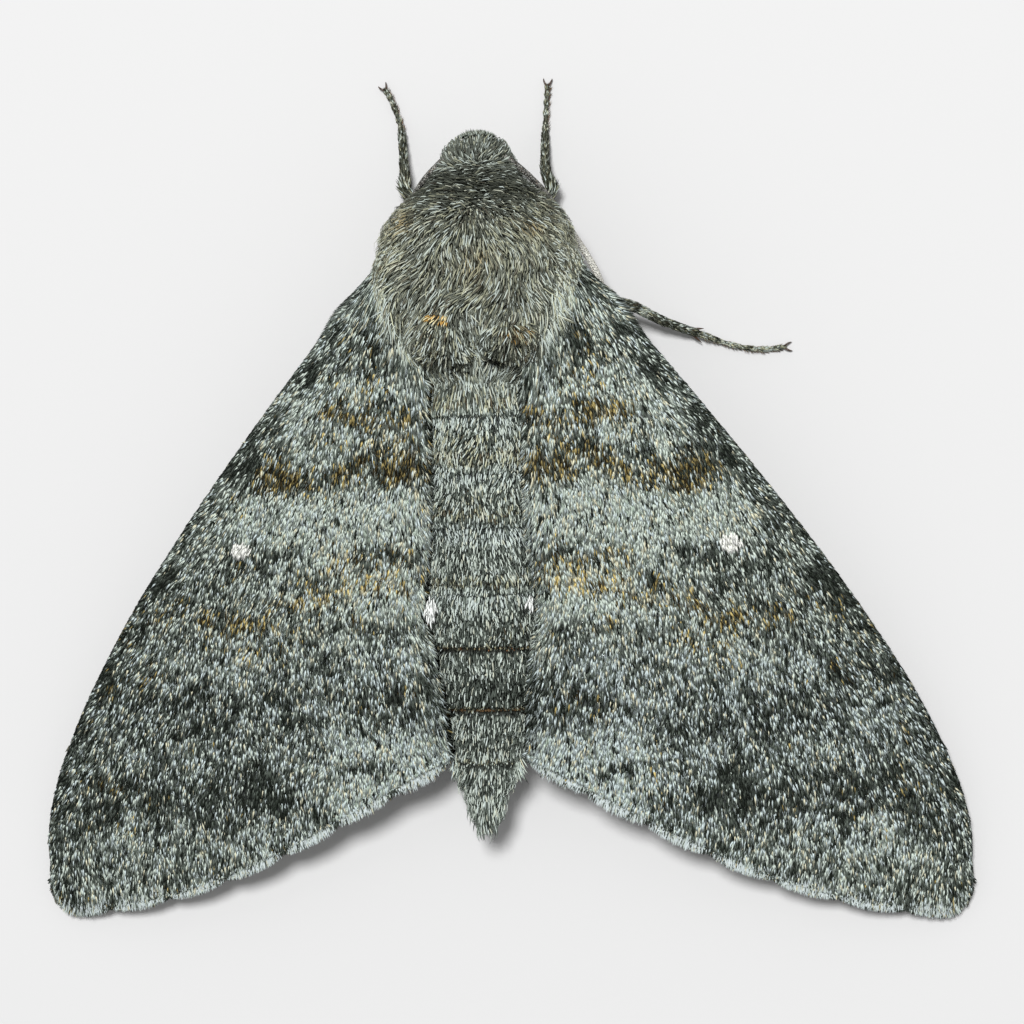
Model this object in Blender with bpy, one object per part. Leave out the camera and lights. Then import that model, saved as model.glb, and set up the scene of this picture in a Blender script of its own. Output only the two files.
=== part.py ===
"""Hawk moth at rest, life size, as a still museum model.

Frame: metres, +Z up, the moth stands on z = 0 with its head toward -Y.
Its own left side is +X.  All named sizes below are in millimetres.
"""
import math

import bmesh
import bpy
import numpy as np
from mathutils import Matrix, Vector

MM = 0.001

# ------------------------------------------------------------------ sizes
GAP = 0.12                 # clearance between neighbouring pieces
NECK_Y = -15.05            # cut between head and thorax
WAIST_Y = -5.95            # cut between thorax and abdomen

# Trunk stations: y, half width, top, underside, height of the widest level.
TRUNK = (
    (-17.80, 0.52, 5.18, 4.72, 4.95), (-17.58, 0.92, 5.38, 4.48, 4.92),
    (-17.35, 1.35, 5.65, 4.10, 4.90),
    (-16.95, 1.62, 6.02, 3.60, 4.90),
    (-16.45, 1.86, 6.42, 2.95, 4.85),
    (-15.95, 2.15, 6.78, 2.45, 4.80),
    (-15.30, 2.60, 7.15, 2.15, 4.75),
    (-14.80, 3.25, 7.42, 2.10, 4.75),
    (-14.00, 4.12, 7.90, 2.10, 4.80),
    (-13.00, 4.62, 8.35, 2.15, 4.90),
    (-11.20, 5.05, 8.80, 2.20, 5.00),
    (-9.40, 4.85, 9.00, 2.20, 5.10),
    (-7.80, 4.35, 8.90, 2.10, 5.10),
    (-6.60, 3.80, 8.25, 1.90, 4.80),
    (-5.60, 3.45, 7.30, 1.65, 4.40),
    (-4.00, 3.50, 7.15, 1.35, 4.20),
    (-1.00, 3.58, 7.12, 1.10, 4.10),
    (2.00, 3.50, 6.95, 1.00, 4.00),
    (5.00, 3.22, 6.60, 1.05, 3.85),
    (7.10, 2.86, 6.20, 1.20, 3.70),
    (10.30, 2.27, 5.52, 1.60, 3.60),
    (12.50, 1.78, 5.10, 2.00, 3.50),
    (13.30, 1.68, 4.96, 2.20, 3.45),
    (13.90, 1.42, 4.84, 2.35, 3.50),
    (15.00, 1.02, 4.50, 2.65, 3.55),
    (15.80, 0.66, 4.22, 2.85, 3.50),
    (16.60, 0.54, 3.95, 3.02, 3.45),
    (16.88, 0.34, 3.75, 3.15, 3.45),
)
TAIL_BEND = 0.27           # the tail end leans to the moth's left
HEAD_ROUND, CHEST_ROUND, BELLY_ROUND = 2.1, 2.15, 2.0    # upper section exponents
UNDER_ROUND = 1.75                                       # lower section exponent

# Bumps on the trunk: the rear thoracic tufts, the shoulder lappets, the
# furrow between the tufts and the stepped rings of the abdomen.
TUFT_X, TUFT_Y, TUFT_RISE = 1.95, -7.5, 0.50
LAPPET_X, LAPPET_RISE = 3.9, 0.28
FURROW_DEPTH = 0.30
RING_ENDS = (-4.2, -1.9, 0.9, 3.9, 7.1, 10.3, 11.85, 12.95, 14.1, 15.4)
RING_STEP = 0.11

# Forewing plan.  The costa runs from the shoulder to the rounded apex.
COSTA_BASE, COSTA_OUT = (4.45, -12.0), (8.60, -6.95)
COSTA_IN, COSTA_END = (23.85, 10.1), (23.15, 17.6)
APEX_A, APEX_B, APEX_END = (23.30, 19.6), (22.95, 20.72), (21.6, 20.80)
MARGIN_A, MARGIN_B, TORNUS_OUT = (13.2, 20.05), (8.4, 16.22), (2.75, 13.22)
TORNUS_A, TORNUS_B, TORNUS_IN = (2.18, 13.05), (1.90, 12.75), (1.84, 12.1)
INNER_BASE = (2.35, -6.25)
INNER_REST, INNER_BULGE, BULGE_Y, BULGE_LEN = 2.20, 0.52, 4.9, 2.3
SCALLOPS, SCALLOP_DEPTH = 7, 0.26      # rounded lobes of the fringe between narrow notches
COSTA_HIGH, COSTA_LOW = 4.95, 0.62      # mid-surface height at base and apex
# The same along the inner margin, which rests on the flanks of the abdomen.
INNER_LINE = ((-6.5, 7.20), (-3.5, 7.02), (0.0, 6.88), (3.0, 6.45), (6.5, 5.82),
              (10.0, 5.28), (12.9, 4.48), (20.8, 4.25))
WING_CAMBER = 0.55
WING_THICK = 0.50
HIND_DROP = 0.88                        # hindwing below the forewing

# Hindwing plan
HIND_BASE_A, HIND_BASE_B = (4.9, -8.7), (3.95, -6.2)
HIND_COSTA = ((8.6, -3.0), (13.6, 3.5), (15.0, 8.6))
HIND_MARGIN = ((14.2, 11.2), (7.2, 12.9), (4.45, 11.2))
HIND_INNER = ((3.8, 8.0), (4.35, 0.0))

EYE_AT, EYE_R = (1.03, -15.99, 3.52), 0.92
TONGUE_AT, TONGUE_R, TONGUE_THICK = (0.0, -16.55, 1.85), 0.50, 0.38


# ------------------------------------------------------------------ maths
def smoothstep(t):
    t = np.clip(t, 0.0, 1.0)
    return t * t * (3.0 - 2.0 * t)


def monotone(xs, ys, x):
    """Monotone cubic interpolation of a table of stations."""
    xs, ys, x = np.asarray(xs, float), np.asarray(ys, float), np.asarray(x, float)
    h = np.diff(xs)
    d = np.diff(ys) / h
    m = np.zeros_like(ys)
    m[0], m[-1] = d[0], d[-1]
    same = d[:-1] * d[1:] > 0
    w1, w2 = 2 * h[1:] + h[:-1], h[1:] + 2 * h[:-1]
    with np.errstate(divide="ignore", invalid="ignore"):
        inner = (w1 + w2) / (w1 / d[:-1] + w2 / d[1:])
    m[1:-1] = np.where(same, inner, 0.0)
    i = np.clip(np.searchsorted(xs, x) - 1, 0, len(h) - 1)
    t = np.clip((x - xs[i]) / h[i], 0.0, 1.0)
    a, b = 2 * t**3 - 3 * t**2 + 1, t**3 - 2 * t**2 + t
    c, e = -2 * t**3 + 3 * t**2, t**3 - t**2
    return a * ys[i] + b * h[i] * m[i] + c * ys[i + 1] + e * h[i] * m[i + 1]


def section(y):
    """Half width, top, underside and widest level of the trunk at y."""
    ys = [s[0] for s in TRUNK]
    return [monotone(ys, [s[k] for s in TRUNK], y) for k in (1, 2, 3, 4)]


def trunk_point(y, a):
    """Point of the trunk's outer surface at station y and ring angle a."""
    w, top, low, mid = (float(v) for v in section(y))
    c, s = math.cos(a), math.sin(a)
    if y < NECK_Y:
        n = HEAD_ROUND
    else:
        n = CHEST_ROUND + (BELLY_ROUND - CHEST_ROUND) * float(smoothstep((y + 8) / 4))
    if s < 0:
        n = UNDER_ROUND
    x = w * math.copysign(abs(c) ** (2 / n), c)
    z = mid + (top - mid if s > 0 else mid - low) * math.copysign(abs(s) ** (2 / n), s)
    out = Vector((x / max(w, 0.1), 0.0, (z - mid) / max(top - mid, 0.1)))
    out = out.normalized() if out.length > 1e-6 else Vector((0, 0, 1))
    up = float(smoothstep((z - mid) / 1.5))
    ax = abs(x)
    rise = TUFT_RISE * up * math.exp(-((ax - TUFT_X) / 1.05) ** 2 - ((y - TUFT_Y) / 0.95) ** 2)
    rise -= FURROW_DEPTH * up * math.exp(-(ax / 0.6) ** 2 - ((y + 7.0) / 1.2) ** 2)
    lap = float(smoothstep((y + 14.0) / 1.2) * smoothstep((-7.6 - y) / 1.2))
    rise += LAPPET_RISE * lap * up * math.exp(-((ax - LAPPET_X) / 0.75) ** 2)
    rise -= 0.5 * LAPPET_RISE * lap * up * math.exp(-((ax - LAPPET_X + 1.15) / 0.45) ** 2)
    if y > WAIST_Y:
        rise += ring_step(y)
    p = Vector((x + TAIL_BEND * float(smoothstep((y - 11.3) / 3.2)), y, z)) + out * rise
    return (p.x * MM, p.y * MM, p.z * MM)


def ring_step(y):
    """Each ring of the abdomen swells a little toward its rear edge."""
    for a, b in zip((WAIST_Y,) + RING_ENDS, RING_ENDS):
        if a < y <= b:
            return RING_STEP * float(smoothstep((y - a) / (b - a))) - 0.4 * RING_STEP
    return 0.0


def bezier(p0, p1, p2, p3, n):
    t = np.linspace(0.0, 1.0, n)[:, None]
    p0, p1, p2, p3 = (np.asarray(p, float) for p in (p0, p1, p2, p3))
    return (1 - t)**3 * p0 + 3 * (1 - t)**2 * t * p1 + 3 * (1 - t) * t * t * p2 + t**3 * p3


def resample(line, n, ease=0.0):
    """n points spread evenly by length along a polyline."""
    step = np.linalg.norm(np.diff(line, axis=0), axis=1)
    run = np.concatenate(([0.0], np.cumsum(step)))
    t = np.linspace(0.0, 1.0, n)
    t = t + ease * np.sin(2 * math.pi * t) / (2 * math.pi)
    return np.stack([np.interp(t * run[-1], run, line[:, k]) for k in range(line.shape[1])], 1)


def smooth_path(points, per_leg):
    """Catmull-Rom curve through the given rows (position and radius)."""
    p = np.asarray(points, float)
    p = np.vstack([2 * p[0] - p[1], p, 2 * p[-1] - p[-2]])
    rows = []
    for i in range(1, len(p) - 2):
        for t in np.linspace(0, 1, per_leg, endpoint=False):
            a, b, c, d = p[i - 1], p[i], p[i + 1], p[i + 2]
            rows.append(0.5 * (2 * b + (c - a) * t + (2 * a - 5 * b + 4 * c - d) * t * t
                               + (3 * b - a - 3 * c + d) * t**3))
    rows.append(p[-2])
    return np.array(rows)


# ------------------------------------------------------------------ wings
def inner_margin(y):
    return (INNER_REST - 0.36 * smoothstep((y - 5.5) / 6.5)
            + INNER_BULGE * np.exp(-((y - BULGE_Y) / BULGE_LEN) ** 2))


def forewing_edges(n_along, n_across):
    """Costa, inner margin, root and outer margin as evenly spaced points."""
    costa = np.vstack([bezier(COSTA_BASE, COSTA_OUT, COSTA_IN, COSTA_END, 120),
                       bezier(COSTA_END, APEX_A, APEX_B, APEX_END, 60)[1:34]])
    margin = np.vstack([bezier(COSTA_END, APEX_A, APEX_B, APEX_END, 60)[33:],
                        bezier(APEX_END, MARGIN_A, MARGIN_B, TORNUS_OUT, 160)[1:],
                        bezier(TORNUS_OUT, TORNUS_A, TORNUS_B, TORNUS_IN, 40)[1:22]])
    step = np.linalg.norm(np.diff(margin, axis=0), axis=1)
    run = np.concatenate(([0.0], np.cumsum(step)))
    s = run / run[-1]
    ahead = np.gradient(margin, axis=0)
    normal = np.stack([ahead[:, 1], -ahead[:, 0]], 1)
    normal /= np.linalg.norm(normal, axis=1)[:, None]
    lobe = np.abs(np.sin(math.pi * SCALLOPS * s)) ** 0.45 - 0.8
    fade = smoothstep(s / 0.08) * smoothstep((1 - s) / 0.08)
    margin = margin + normal * (SCALLOP_DEPTH * lobe * fade)[:, None]
    tornus = bezier(TORNUS_OUT, TORNUS_A, TORNUS_B, TORNUS_IN, 40)[21:][::-1]
    ys = np.linspace(INNER_BASE[1], TORNUS_IN[1], 90)
    inner = np.stack([inner_margin(ys), ys], 1)
    inner = np.vstack([inner, tornus[1:]])
    root = np.linspace(COSTA_BASE, INNER_BASE, 20)
    return (resample(costa, n_along), resample(inner, n_along),
            resample(root, n_across), resample(margin, n_across))


def coons(c0, c1, r0, r1):
    """Patch between four edges: c0, c1 run along, r0, r1 run across."""
    nu, nv = len(c0), len(r0)
    u = np.linspace(0, 1, nu)[:, None, None]
    v = np.linspace(0, 1, nv)[None, :, None]
    corners = ((1 - u) * (1 - v) * c0[0] + u * (1 - v) * c0[-1]
               + (1 - u) * v * c1[0] + u * v * c1[-1])
    return ((1 - v) * c0[:, None] + v * c1[:, None]
            + (1 - u) * r0[None] + u * r1[None] - corners)


def wing_height(x, y):
    """Height of the forewing's middle surface over the plan, in mm."""
    t = np.clip((y + 12.0) / 32.6, 0.0, 1.0)
    costa = COSTA_LOW + (COSTA_HIGH - COSTA_LOW) * (1 - smoothstep((t - 0.06) / 0.98)) ** 0.95
    inner = monotone([p[0] for p in INNER_LINE], [p[1] for p in INNER_LINE], y)
    x_out = np.interp(y, EDGE_Y, EDGE_X)
    q = np.clip((x - inner_margin(np.clip(y, -6, 12.5))) / np.maximum(x_out - 2.2, 1.0), 0.0, 1.0)
    return inner + (costa - inner) * q + WING_CAMBER * np.sin(math.pi * q) * (1 - 0.35 * t)


def edge_table():
    costa = np.vstack([bezier(COSTA_BASE, COSTA_OUT, COSTA_IN, COSTA_END, 120),
                       bezier(COSTA_END, APEX_A, APEX_B, APEX_END, 60)])
    order = np.argsort(costa[:, 1])
    return costa[order, 1], costa[order, 0]


EDGE_Y, EDGE_X = edge_table()


def forewing_grid(n_along, n_across):
    plan = coons(*forewing_edges(n_along, n_across))
    z = wing_height(plan[..., 0], plan[..., 1])
    return np.dstack([plan, z])


def hindwing_grid(n_along, n_across):
    costa = resample(bezier(HIND_BASE_A, *HIND_COSTA, 60), n_along)
    inner = resample(bezier(HIND_BASE_B, HIND_INNER[1], HIND_INNER[0], HIND_MARGIN[2], 60), n_along)
    root = np.linspace(HIND_BASE_A, HIND_BASE_B, n_across)
    margin = resample(bezier(HIND_COSTA[2], *HIND_MARGIN, 60), n_across)
    plan = coons(costa, inner, root, margin)
    z = wing_height(plan[..., 0], plan[..., 1]) - HIND_DROP
    return np.dstack([plan, z])


# ------------------------------------------------------------------ Blender
for old in list(bpy.data.objects):
    bpy.data.objects.remove(old, do_unlink=True)

holder = bpy.data.objects.new("moth", None)
bpy.context.collection.objects.link(holder)


def paint(name, colour, roughness, metallic=0.0):
    mat = bpy.data.materials.new(name)
    mat.use_nodes = True
    shader = mat.node_tree.nodes["Principled BSDF"]
    shader.inputs["Base Color"].default_value = (*colour, 1.0)
    shader.inputs["Roughness"].default_value = roughness
    shader.inputs["Metallic"].default_value = metallic
    return mat


def place(name, bm, colour, roughness=0.8, cutter=False):
    bmesh.ops.recalc_face_normals(bm, faces=bm.faces)
    mesh = bpy.data.meshes.new(name)
    bm.to_mesh(mesh)
    bm.free()
    mesh.shade_smooth()
    obj = bpy.data.objects.new(name, mesh)
    bpy.context.collection.objects.link(obj)
    obj.parent = holder
    if cutter:
        obj.hide_render = True
        obj.display_type = "WIRE"
    else:
        mesh.materials.append(paint(name + "_paint", colour, roughness))
    return obj


def loft(name, rings, colour, roughness=0.8, cutter=False):
    """Closed body through a row of rings, its two ends capped."""
    bm = bmesh.new()
    rows = [[bm.verts.new(p) for p in ring] for ring in rings]
    n = len(rows[0])
    for a, b in zip(rows, rows[1:]):
        for k in range(n):
            bm.faces.new((a[k], a[(k + 1) % n], b[(k + 1) % n], b[k]))
    for row in (rows[0], rows[-1]):
        cap = bm.faces.new(row)
        bmesh.ops.poke(bm, faces=[cap])
    return place(name, bm, colour, roughness, cutter)


def trunk_piece(name, y0, y1, stations, sides, colour):
    ys = y0 + (y1 - y0) * np.asarray(stations)
    rings = []
    for y in ys:
        rings.append([trunk_point(float(y), 2 * math.pi * k / sides + 0.0001) for k in range(sides)])
    return loft(name, rings, colour, 0.85)


def tube(name, rows, sides, colour, roughness=0.7, on_floor=False, grow=0.0,
         cutter=False, squash=1.0):
    """Round tube along rows of (x, y, z, radius); on_floor flattens it at z = 0."""
    rows = np.asarray(rows, float)
    p, r = rows[:, :3], rows[:, 3] + grow
    ahead = np.gradient(p, axis=0)
    ahead /= np.linalg.norm(ahead, axis=1)[:, None]
    side = np.cross(ahead[0], (0.0, 0.0, 1.0))
    if np.linalg.norm(side) < 0.1:
        side = np.array((1.0, 0.0, 0.0))
    rings = []
    for i in range(len(p)):
        side = side - ahead[i] * np.dot(side, ahead[i])
        side /= np.linalg.norm(side)
        over = np.cross(side, ahead[i])
        ring = []
        for k in range(sides):
            a = 2 * math.pi * (k + 0.5) / sides
            q = p[i] + r[i] * (math.cos(a) * side + squash * math.sin(a) * over)
            if on_floor:
                q[2] = max(q[2], 0.0)
            ring.append(tuple(q * MM))
        rings.append(ring)
    return loft(name, rings, colour, roughness, cutter)


def sheet(name, grid, mirror, thick, colour, cutter=False):
    """Wing: one curved sheet, thickened both ways by a Solidify modifier."""
    bm = bmesh.new()
    nu, nv = grid.shape[:2]
    flip = -1.0 if mirror else 1.0
    rows = [[bm.verts.new((flip * g[0] * MM, g[1] * MM, g[2] * MM)) for g in line] for line in grid]
    for i in range(nu - 1):
        for j in range(nv - 1):
            quad = (rows[i][j], rows[i][j + 1], rows[i + 1][j + 1], rows[i + 1][j])
            bm.faces.new(quad[::-1] if mirror else quad)
    bm.normal_update()
    mesh = bpy.data.meshes.new(name)
    bm.to_mesh(mesh)
    bm.free()
    mesh.shade_smooth()
    obj = bpy.data.objects.new(name, mesh)
    bpy.context.collection.objects.link(obj)
    obj.parent = holder
    solid = obj.modifiers.new("thickness", "SOLIDIFY")
    solid.thickness = thick * MM
    solid.offset = 0.0
    solid.use_even_offset = True
    solid.use_quality_normals = True
    if cutter:
        obj.hide_render = True
        obj.display_type = "WIRE"
    else:
        mesh.materials.append(paint(name + "_paint", colour, 0.8))
    return obj


def cut(obj, tools):
    for tool in tools:
        mod = obj.modifiers.new("clear_" + tool.name, "BOOLEAN")
        mod.operation = "DIFFERENCE"
        mod.object = tool
        mod.solver = "EXACT"


GREY_GREEN = (0.155, 0.180, 0.150)
PALE_FUR = (0.190, 0.205, 0.165)
DARK_FUR = (0.085, 0.095, 0.075)
LEG_FUR = (0.140, 0.140, 0.110)
BONE = (0.560, 0.550, 0.460)
EYE = (0.020, 0.016, 0.013)

SIDES = {"left": 1.0, "right": -1.0}

# ---- trunk
head = trunk_piece("head", TRUNK[0][0], NECK_Y - 0.5 * GAP,
                   (0.0, 0.08, 0.19, 0.33, 0.48, 0.64, 0.82, 1.0), 20, DARK_FUR)
thorax = trunk_piece("thorax", NECK_Y + 0.5 * GAP, WAIST_Y - 0.5 * GAP,
                     np.linspace(0, 1, 14), 24, PALE_FUR)

belly_y0, belly_y1 = WAIST_Y + 0.5 * GAP, TRUNK[-1][0]
belly = [0.0]
for a, b in zip((belly_y0,) + RING_ENDS, RING_ENDS):
    belly += [(a + 0.55 * (b - a) - belly_y0), (b - belly_y0), (b + 0.14 - belly_y0)]
belly += [16.3 - belly_y0, belly_y1 - belly_y0]
abdomen = trunk_piece("abdomen", belly_y0, belly_y1,
                      np.array(belly) / (belly_y1 - belly_y0), 18, GREY_GREEN)

# ---- wings, and wider copies of them that clear the thorax
for side, sx in SIDES.items():
    mirror = sx < 0
    fore_grid, hind_grid = forewing_grid(12, 29), hindwing_grid(9, 8)
    sheet("forewing_" + side, fore_grid, mirror, WING_THICK, GREY_GREEN)
    sheet("hindwing_" + side, hind_grid, mirror, WING_THICK, PALE_FUR)
    fore_grid, hind_grid = fore_grid[:6].copy(), hind_grid[:5].copy()
    for grid in (fore_grid, hind_grid):
        grid[0, :, 0] -= 1.5 * GAP
        grid[:, -1, 0] -= 1.5 * GAP
        grid[:, 0, :2] += (1.2 * GAP, -1.2 * GAP)
    fore = sheet("clear_fore_" + side, fore_grid, mirror, WING_THICK + 2 * GAP,
                 GREY_GREEN, cutter=True)
    hind = sheet("clear_hind_" + side, hind_grid, mirror, WING_THICK + 2 * GAP,
                 GREY_GREEN, cutter=True)
    cut(thorax, (fore, hind))

# ---- antennae, swept back along the shoulder and under the costa
ANTENNA = (
    (1.40, -16.55, 5.45, 0.24), (1.78, -16.28, 5.45, 0.27), (2.60, -15.55, 5.05, 0.27),
    (3.38, -14.62, 4.25, 0.26), (4.40, -12.90, 3.38, 0.26), (5.55, -10.95, 3.45, 0.26),
    (6.75, -8.95, 3.40, 0.25), (7.60, -7.45, 3.30, 0.25), (8.40, -6.20, 3.10, 0.25),
)
for side, sx in SIDES.items():
    rows = smooth_path([(sx * x, y, z, r) for x, y, z, r in ANTENNA], 3)
    tube("antenna_" + side, rows, 6, BONE, 0.6)
    rows[0, :3] += (rows[0, :3] - rows[1, :3])
    tool = tube("clear_antenna_" + side, rows, 8, BONE, grow=0.13, cutter=True)
    cut(head, (tool,))
    cut(thorax, (tool,))

# ---- eyes, set in the sides of the head below the fur
for side, sx in SIDES.items():
    for name, r, cutter in (("eye_" + side, EYE_R, False), ("clear_eye_" + side, EYE_R + GAP, True)):
        bm = bmesh.new()
        bmesh.ops.create_uvsphere(bm, u_segments=12, v_segments=8, radius=r * MM)
        bmesh.ops.translate(bm, verts=bm.verts, vec=(sx * EYE_AT[0] * MM, EYE_AT[1] * MM, EYE_AT[2] * MM))
        obj = place(name, bm, EYE, 0.15, cutter)
    cut(head, (obj,))

# ---- mouthparts: two upcurved palps and the short coiled tongue
PALP = ((0.62, -15.60, 2.35, 0.30), (0.66, -16.25, 2.05, 0.42), (0.66, -16.95, 2.45, 0.44),
        (0.60, -17.25, 3.20, 0.38), (0.52, -17.25, 3.85, 0.24))
for side, sx in SIDES.items():
    rows = smooth_path([(sx * x, y, z, r) for x, y, z, r in PALP], 2)
    tube("palp_" + side, rows, 8, DARK_FUR, 0.85)
    tool = tube("clear_palp_" + side, rows, 8, DARK_FUR, grow=GAP, cutter=True)
    cut(head, (tool,))
bm = bmesh.new()
bmesh.ops.create_cone(bm, cap_ends=True, segments=14, radius1=TONGUE_R * MM,
                      radius2=TONGUE_R * MM, depth=TONGUE_THICK * MM)
bmesh.ops.rotate(bm, verts=bm.verts, cent=(0, 0, 0), matrix=Matrix.Rotation(math.pi / 2, 3, "Y"))
bmesh.ops.translate(bm, verts=bm.verts, vec=[v * MM for v in TONGUE_AT])
place("proboscis", bm, (0.11, 0.055, 0.028), 0.45)

# ---- legs.  Each row is x, y, z, radius from the coxa out to the claws.
FORE_LEFT = ((1.30, -13.60, 1.62, 0.50), (2.70, -14.30, 1.70, 0.50), (3.95, -15.25, 1.75, 0.38),
             (4.20, -16.45, 1.30, 0.31), (4.33, -17.55, 0.85, 0.28), (4.46, -18.45, 0.45, 0.25),
             (4.62, -19.10, 0.22, 0.25), (5.00, -20.15, 0.20, 0.25), (5.30, -20.68, 0.19, 0.22))
FORE_RIGHT = ((-1.30, -13.50, 1.62, 0.50), (-2.30, -14.10, 1.70, 0.50), (-3.15, -15.05, 1.70, 0.38),
              (-2.88, -16.30, 1.30, 0.31), (-2.80, -17.30, 0.80, 0.28), (-2.78, -18.20, 0.42, 0.25),
              (-2.80, -19.15, 0.22, 0.25), (-2.86, -20.05, 0.20, 0.25), (-2.90, -20.60, 0.19, 0.22))
MID_RIGHT = ((-1.40, -10.60, 1.55, 0.55), (-3.20, -10.10, 2.00, 0.52), (-5.20, -9.70, 2.55, 0.46),
             (-7.05, -9.40, 2.35, 0.38), (-8.60, -8.65, 1.45, 0.30), (-10.25, -8.05, 0.62, 0.27),
             (-11.85, -7.48, 0.26, 0.25), (-13.25, -7.22, 0.20, 0.25), (-14.45, -7.30, 0.19, 0.22))
MID_LEFT = ((1.40, -10.60, 1.55, 0.55), (3.20, -10.05, 2.00, 0.52), (5.30, -9.00, 2.50, 0.46),
            (7.20, -6.90, 2.20, 0.38), (8.50, -4.60, 1.35, 0.30), (9.30, -3.00, 0.75, 0.27),
            (10.20, -1.10, 0.26, 0.25), (10.90, 0.60, 0.20, 0.25), (11.20, 1.60, 0.19, 0.22))
HIND = ((1.20, -7.60, 1.30, 0.55), (2.90, -6.90, 1.45, 0.50), (4.60, -5.40, 1.90, 0.46),
        (5.35, -2.20, 1.70, 0.38), (5.75, 0.80, 1.10, 0.30), (6.05, 3.00, 0.55, 0.27),
        (6.30, 4.80, 0.22, 0.25), (6.75, 6.90, 0.20, 0.25), (7.05, 8.20, 0.19, 0.22))
LEGS = {
    "foreleg_left": FORE_LEFT, "foreleg_right": FORE_RIGHT,
    "midleg_left": MID_LEFT, "midleg_right": MID_RIGHT,
    "hindleg_left": HIND, "hindleg_right": tuple((-x, y, z, r) for x, y, z, r in HIND),
}
for name, path in LEGS.items():
    tube(name, smooth_path(path, 2), 8, LEG_FUR, 0.8, on_floor=True)
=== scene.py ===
"""Looks of the hawk moth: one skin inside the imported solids, and a coat of
scales and hairs over it.  Millimetres in the functions, metres in Blender."""
import math

import bpy
import numpy as np
from mathutils import Matrix, Vector


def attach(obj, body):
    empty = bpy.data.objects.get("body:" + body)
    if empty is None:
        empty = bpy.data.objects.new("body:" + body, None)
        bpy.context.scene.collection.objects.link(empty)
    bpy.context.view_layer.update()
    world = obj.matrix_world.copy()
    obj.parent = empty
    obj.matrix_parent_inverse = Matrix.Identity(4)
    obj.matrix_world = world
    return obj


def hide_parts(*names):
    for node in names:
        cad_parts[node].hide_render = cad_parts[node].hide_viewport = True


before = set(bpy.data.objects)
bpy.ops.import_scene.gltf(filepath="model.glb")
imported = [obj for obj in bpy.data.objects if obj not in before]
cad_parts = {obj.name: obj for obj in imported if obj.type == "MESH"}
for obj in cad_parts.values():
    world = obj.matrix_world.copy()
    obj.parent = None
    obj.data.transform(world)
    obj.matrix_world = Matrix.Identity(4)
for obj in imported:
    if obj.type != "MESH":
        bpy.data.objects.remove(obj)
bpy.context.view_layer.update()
MM = 0.001

# ------------------------------------------------------------------ camera
TILT, ROLL = math.radians(8.0), math.radians(1.0)
AIM, DISTANCE, LENS_PX = Vector((-0.72, 0.60, 0.0)), 150.0, 3000.0


def add_camera():
    back = Vector((-math.sin(TILT), 0, math.cos(TILT)))
    r0, u0 = Vector((-math.cos(TILT), 0, -math.sin(TILT))), Vector((0, -1, 0))
    up = math.cos(ROLL) * u0 + math.sin(ROLL) * r0
    right = math.cos(ROLL) * r0 - math.sin(ROLL) * u0
    data = bpy.data.cameras.new("camera")
    data.sensor_width = 36.0
    data.lens = LENS_PX / 1024.0 * 36.0
    data.clip_start, data.clip_end = 0.005, 20.0
    cam = bpy.data.objects.new("camera", data)
    bpy.context.collection.objects.link(cam)
    at = (AIM + DISTANCE * back) * MM
    cam.matrix_world = Matrix(((right.x, up.x, back.x, at.x), (right.y, up.y, back.y, at.y),
                               (right.z, up.z, back.z, at.z), (0, 0, 0, 1)))
    bpy.context.scene.camera = cam


add_camera()

# ------------------------------------------------------------------ body plan
# The same stations and curves as the solids: y, half width, top, underside,
# height of the widest level.
NECK_Y, WAIST_Y = -15.05, -5.95
TRUNK = (
    (-17.80, 0.52, 5.18, 4.72, 4.95), (-17.58, 0.92, 5.38, 4.48, 4.92),
    (-17.35, 1.35, 5.65, 4.10, 4.90),
    (-16.95, 1.62, 6.02, 3.60, 4.90), (-16.45, 1.86, 6.42, 2.95, 4.85),
    (-15.95, 2.15, 6.78, 2.45, 4.80), (-15.30, 2.60, 7.15, 2.15, 4.75),
    (-14.80, 3.25, 7.42, 2.10, 4.75), (-14.00, 4.12, 7.90, 2.10, 4.80),
    (-13.00, 4.62, 8.35, 2.15, 4.90), (-11.20, 5.05, 8.80, 2.20, 5.00),
    (-9.40, 4.85, 9.00, 2.20, 5.10), (-7.80, 4.35, 8.90, 2.10, 5.10),
    (-6.60, 3.80, 8.25, 1.90, 4.80), (-5.60, 3.45, 7.30, 1.65, 4.40),
    (-4.00, 3.50, 7.15, 1.35, 4.20), (-1.00, 3.58, 7.12, 1.10, 4.10),
    (2.00, 3.50, 6.95, 1.00, 4.00), (5.00, 3.22, 6.60, 1.05, 3.85),
    (7.10, 2.86, 6.20, 1.20, 3.70), (10.30, 2.27, 5.52, 1.60, 3.60),
    (12.50, 1.78, 5.10, 2.00, 3.50), (13.30, 1.68, 4.96, 2.20, 3.45),
    (13.90, 1.42, 4.84, 2.35, 3.50), (15.00, 1.02, 4.50, 2.65, 3.55),
    (15.80, 0.66, 4.22, 2.85, 3.50), (16.60, 0.54, 3.95, 3.02, 3.45),
    (16.88, 0.34, 3.75, 3.15, 3.45),
)
TAIL_BEND = 0.27
HEAD_ROUND, CHEST_ROUND, BELLY_ROUND, UNDER_ROUND = 2.1, 2.15, 2.0, 1.75
TUFT_X, TUFT_Y, TUFT_RISE = 1.95, -7.5, 0.50
LAPPET_X, LAPPET_RISE, FURROW_DEPTH = 3.9, 0.28, 0.30
RING_ENDS = (-4.2, -1.9, 0.9, 3.9, 7.1, 10.3, 11.85, 12.95, 14.1, 15.4)
RING_STEP = 0.11

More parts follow.
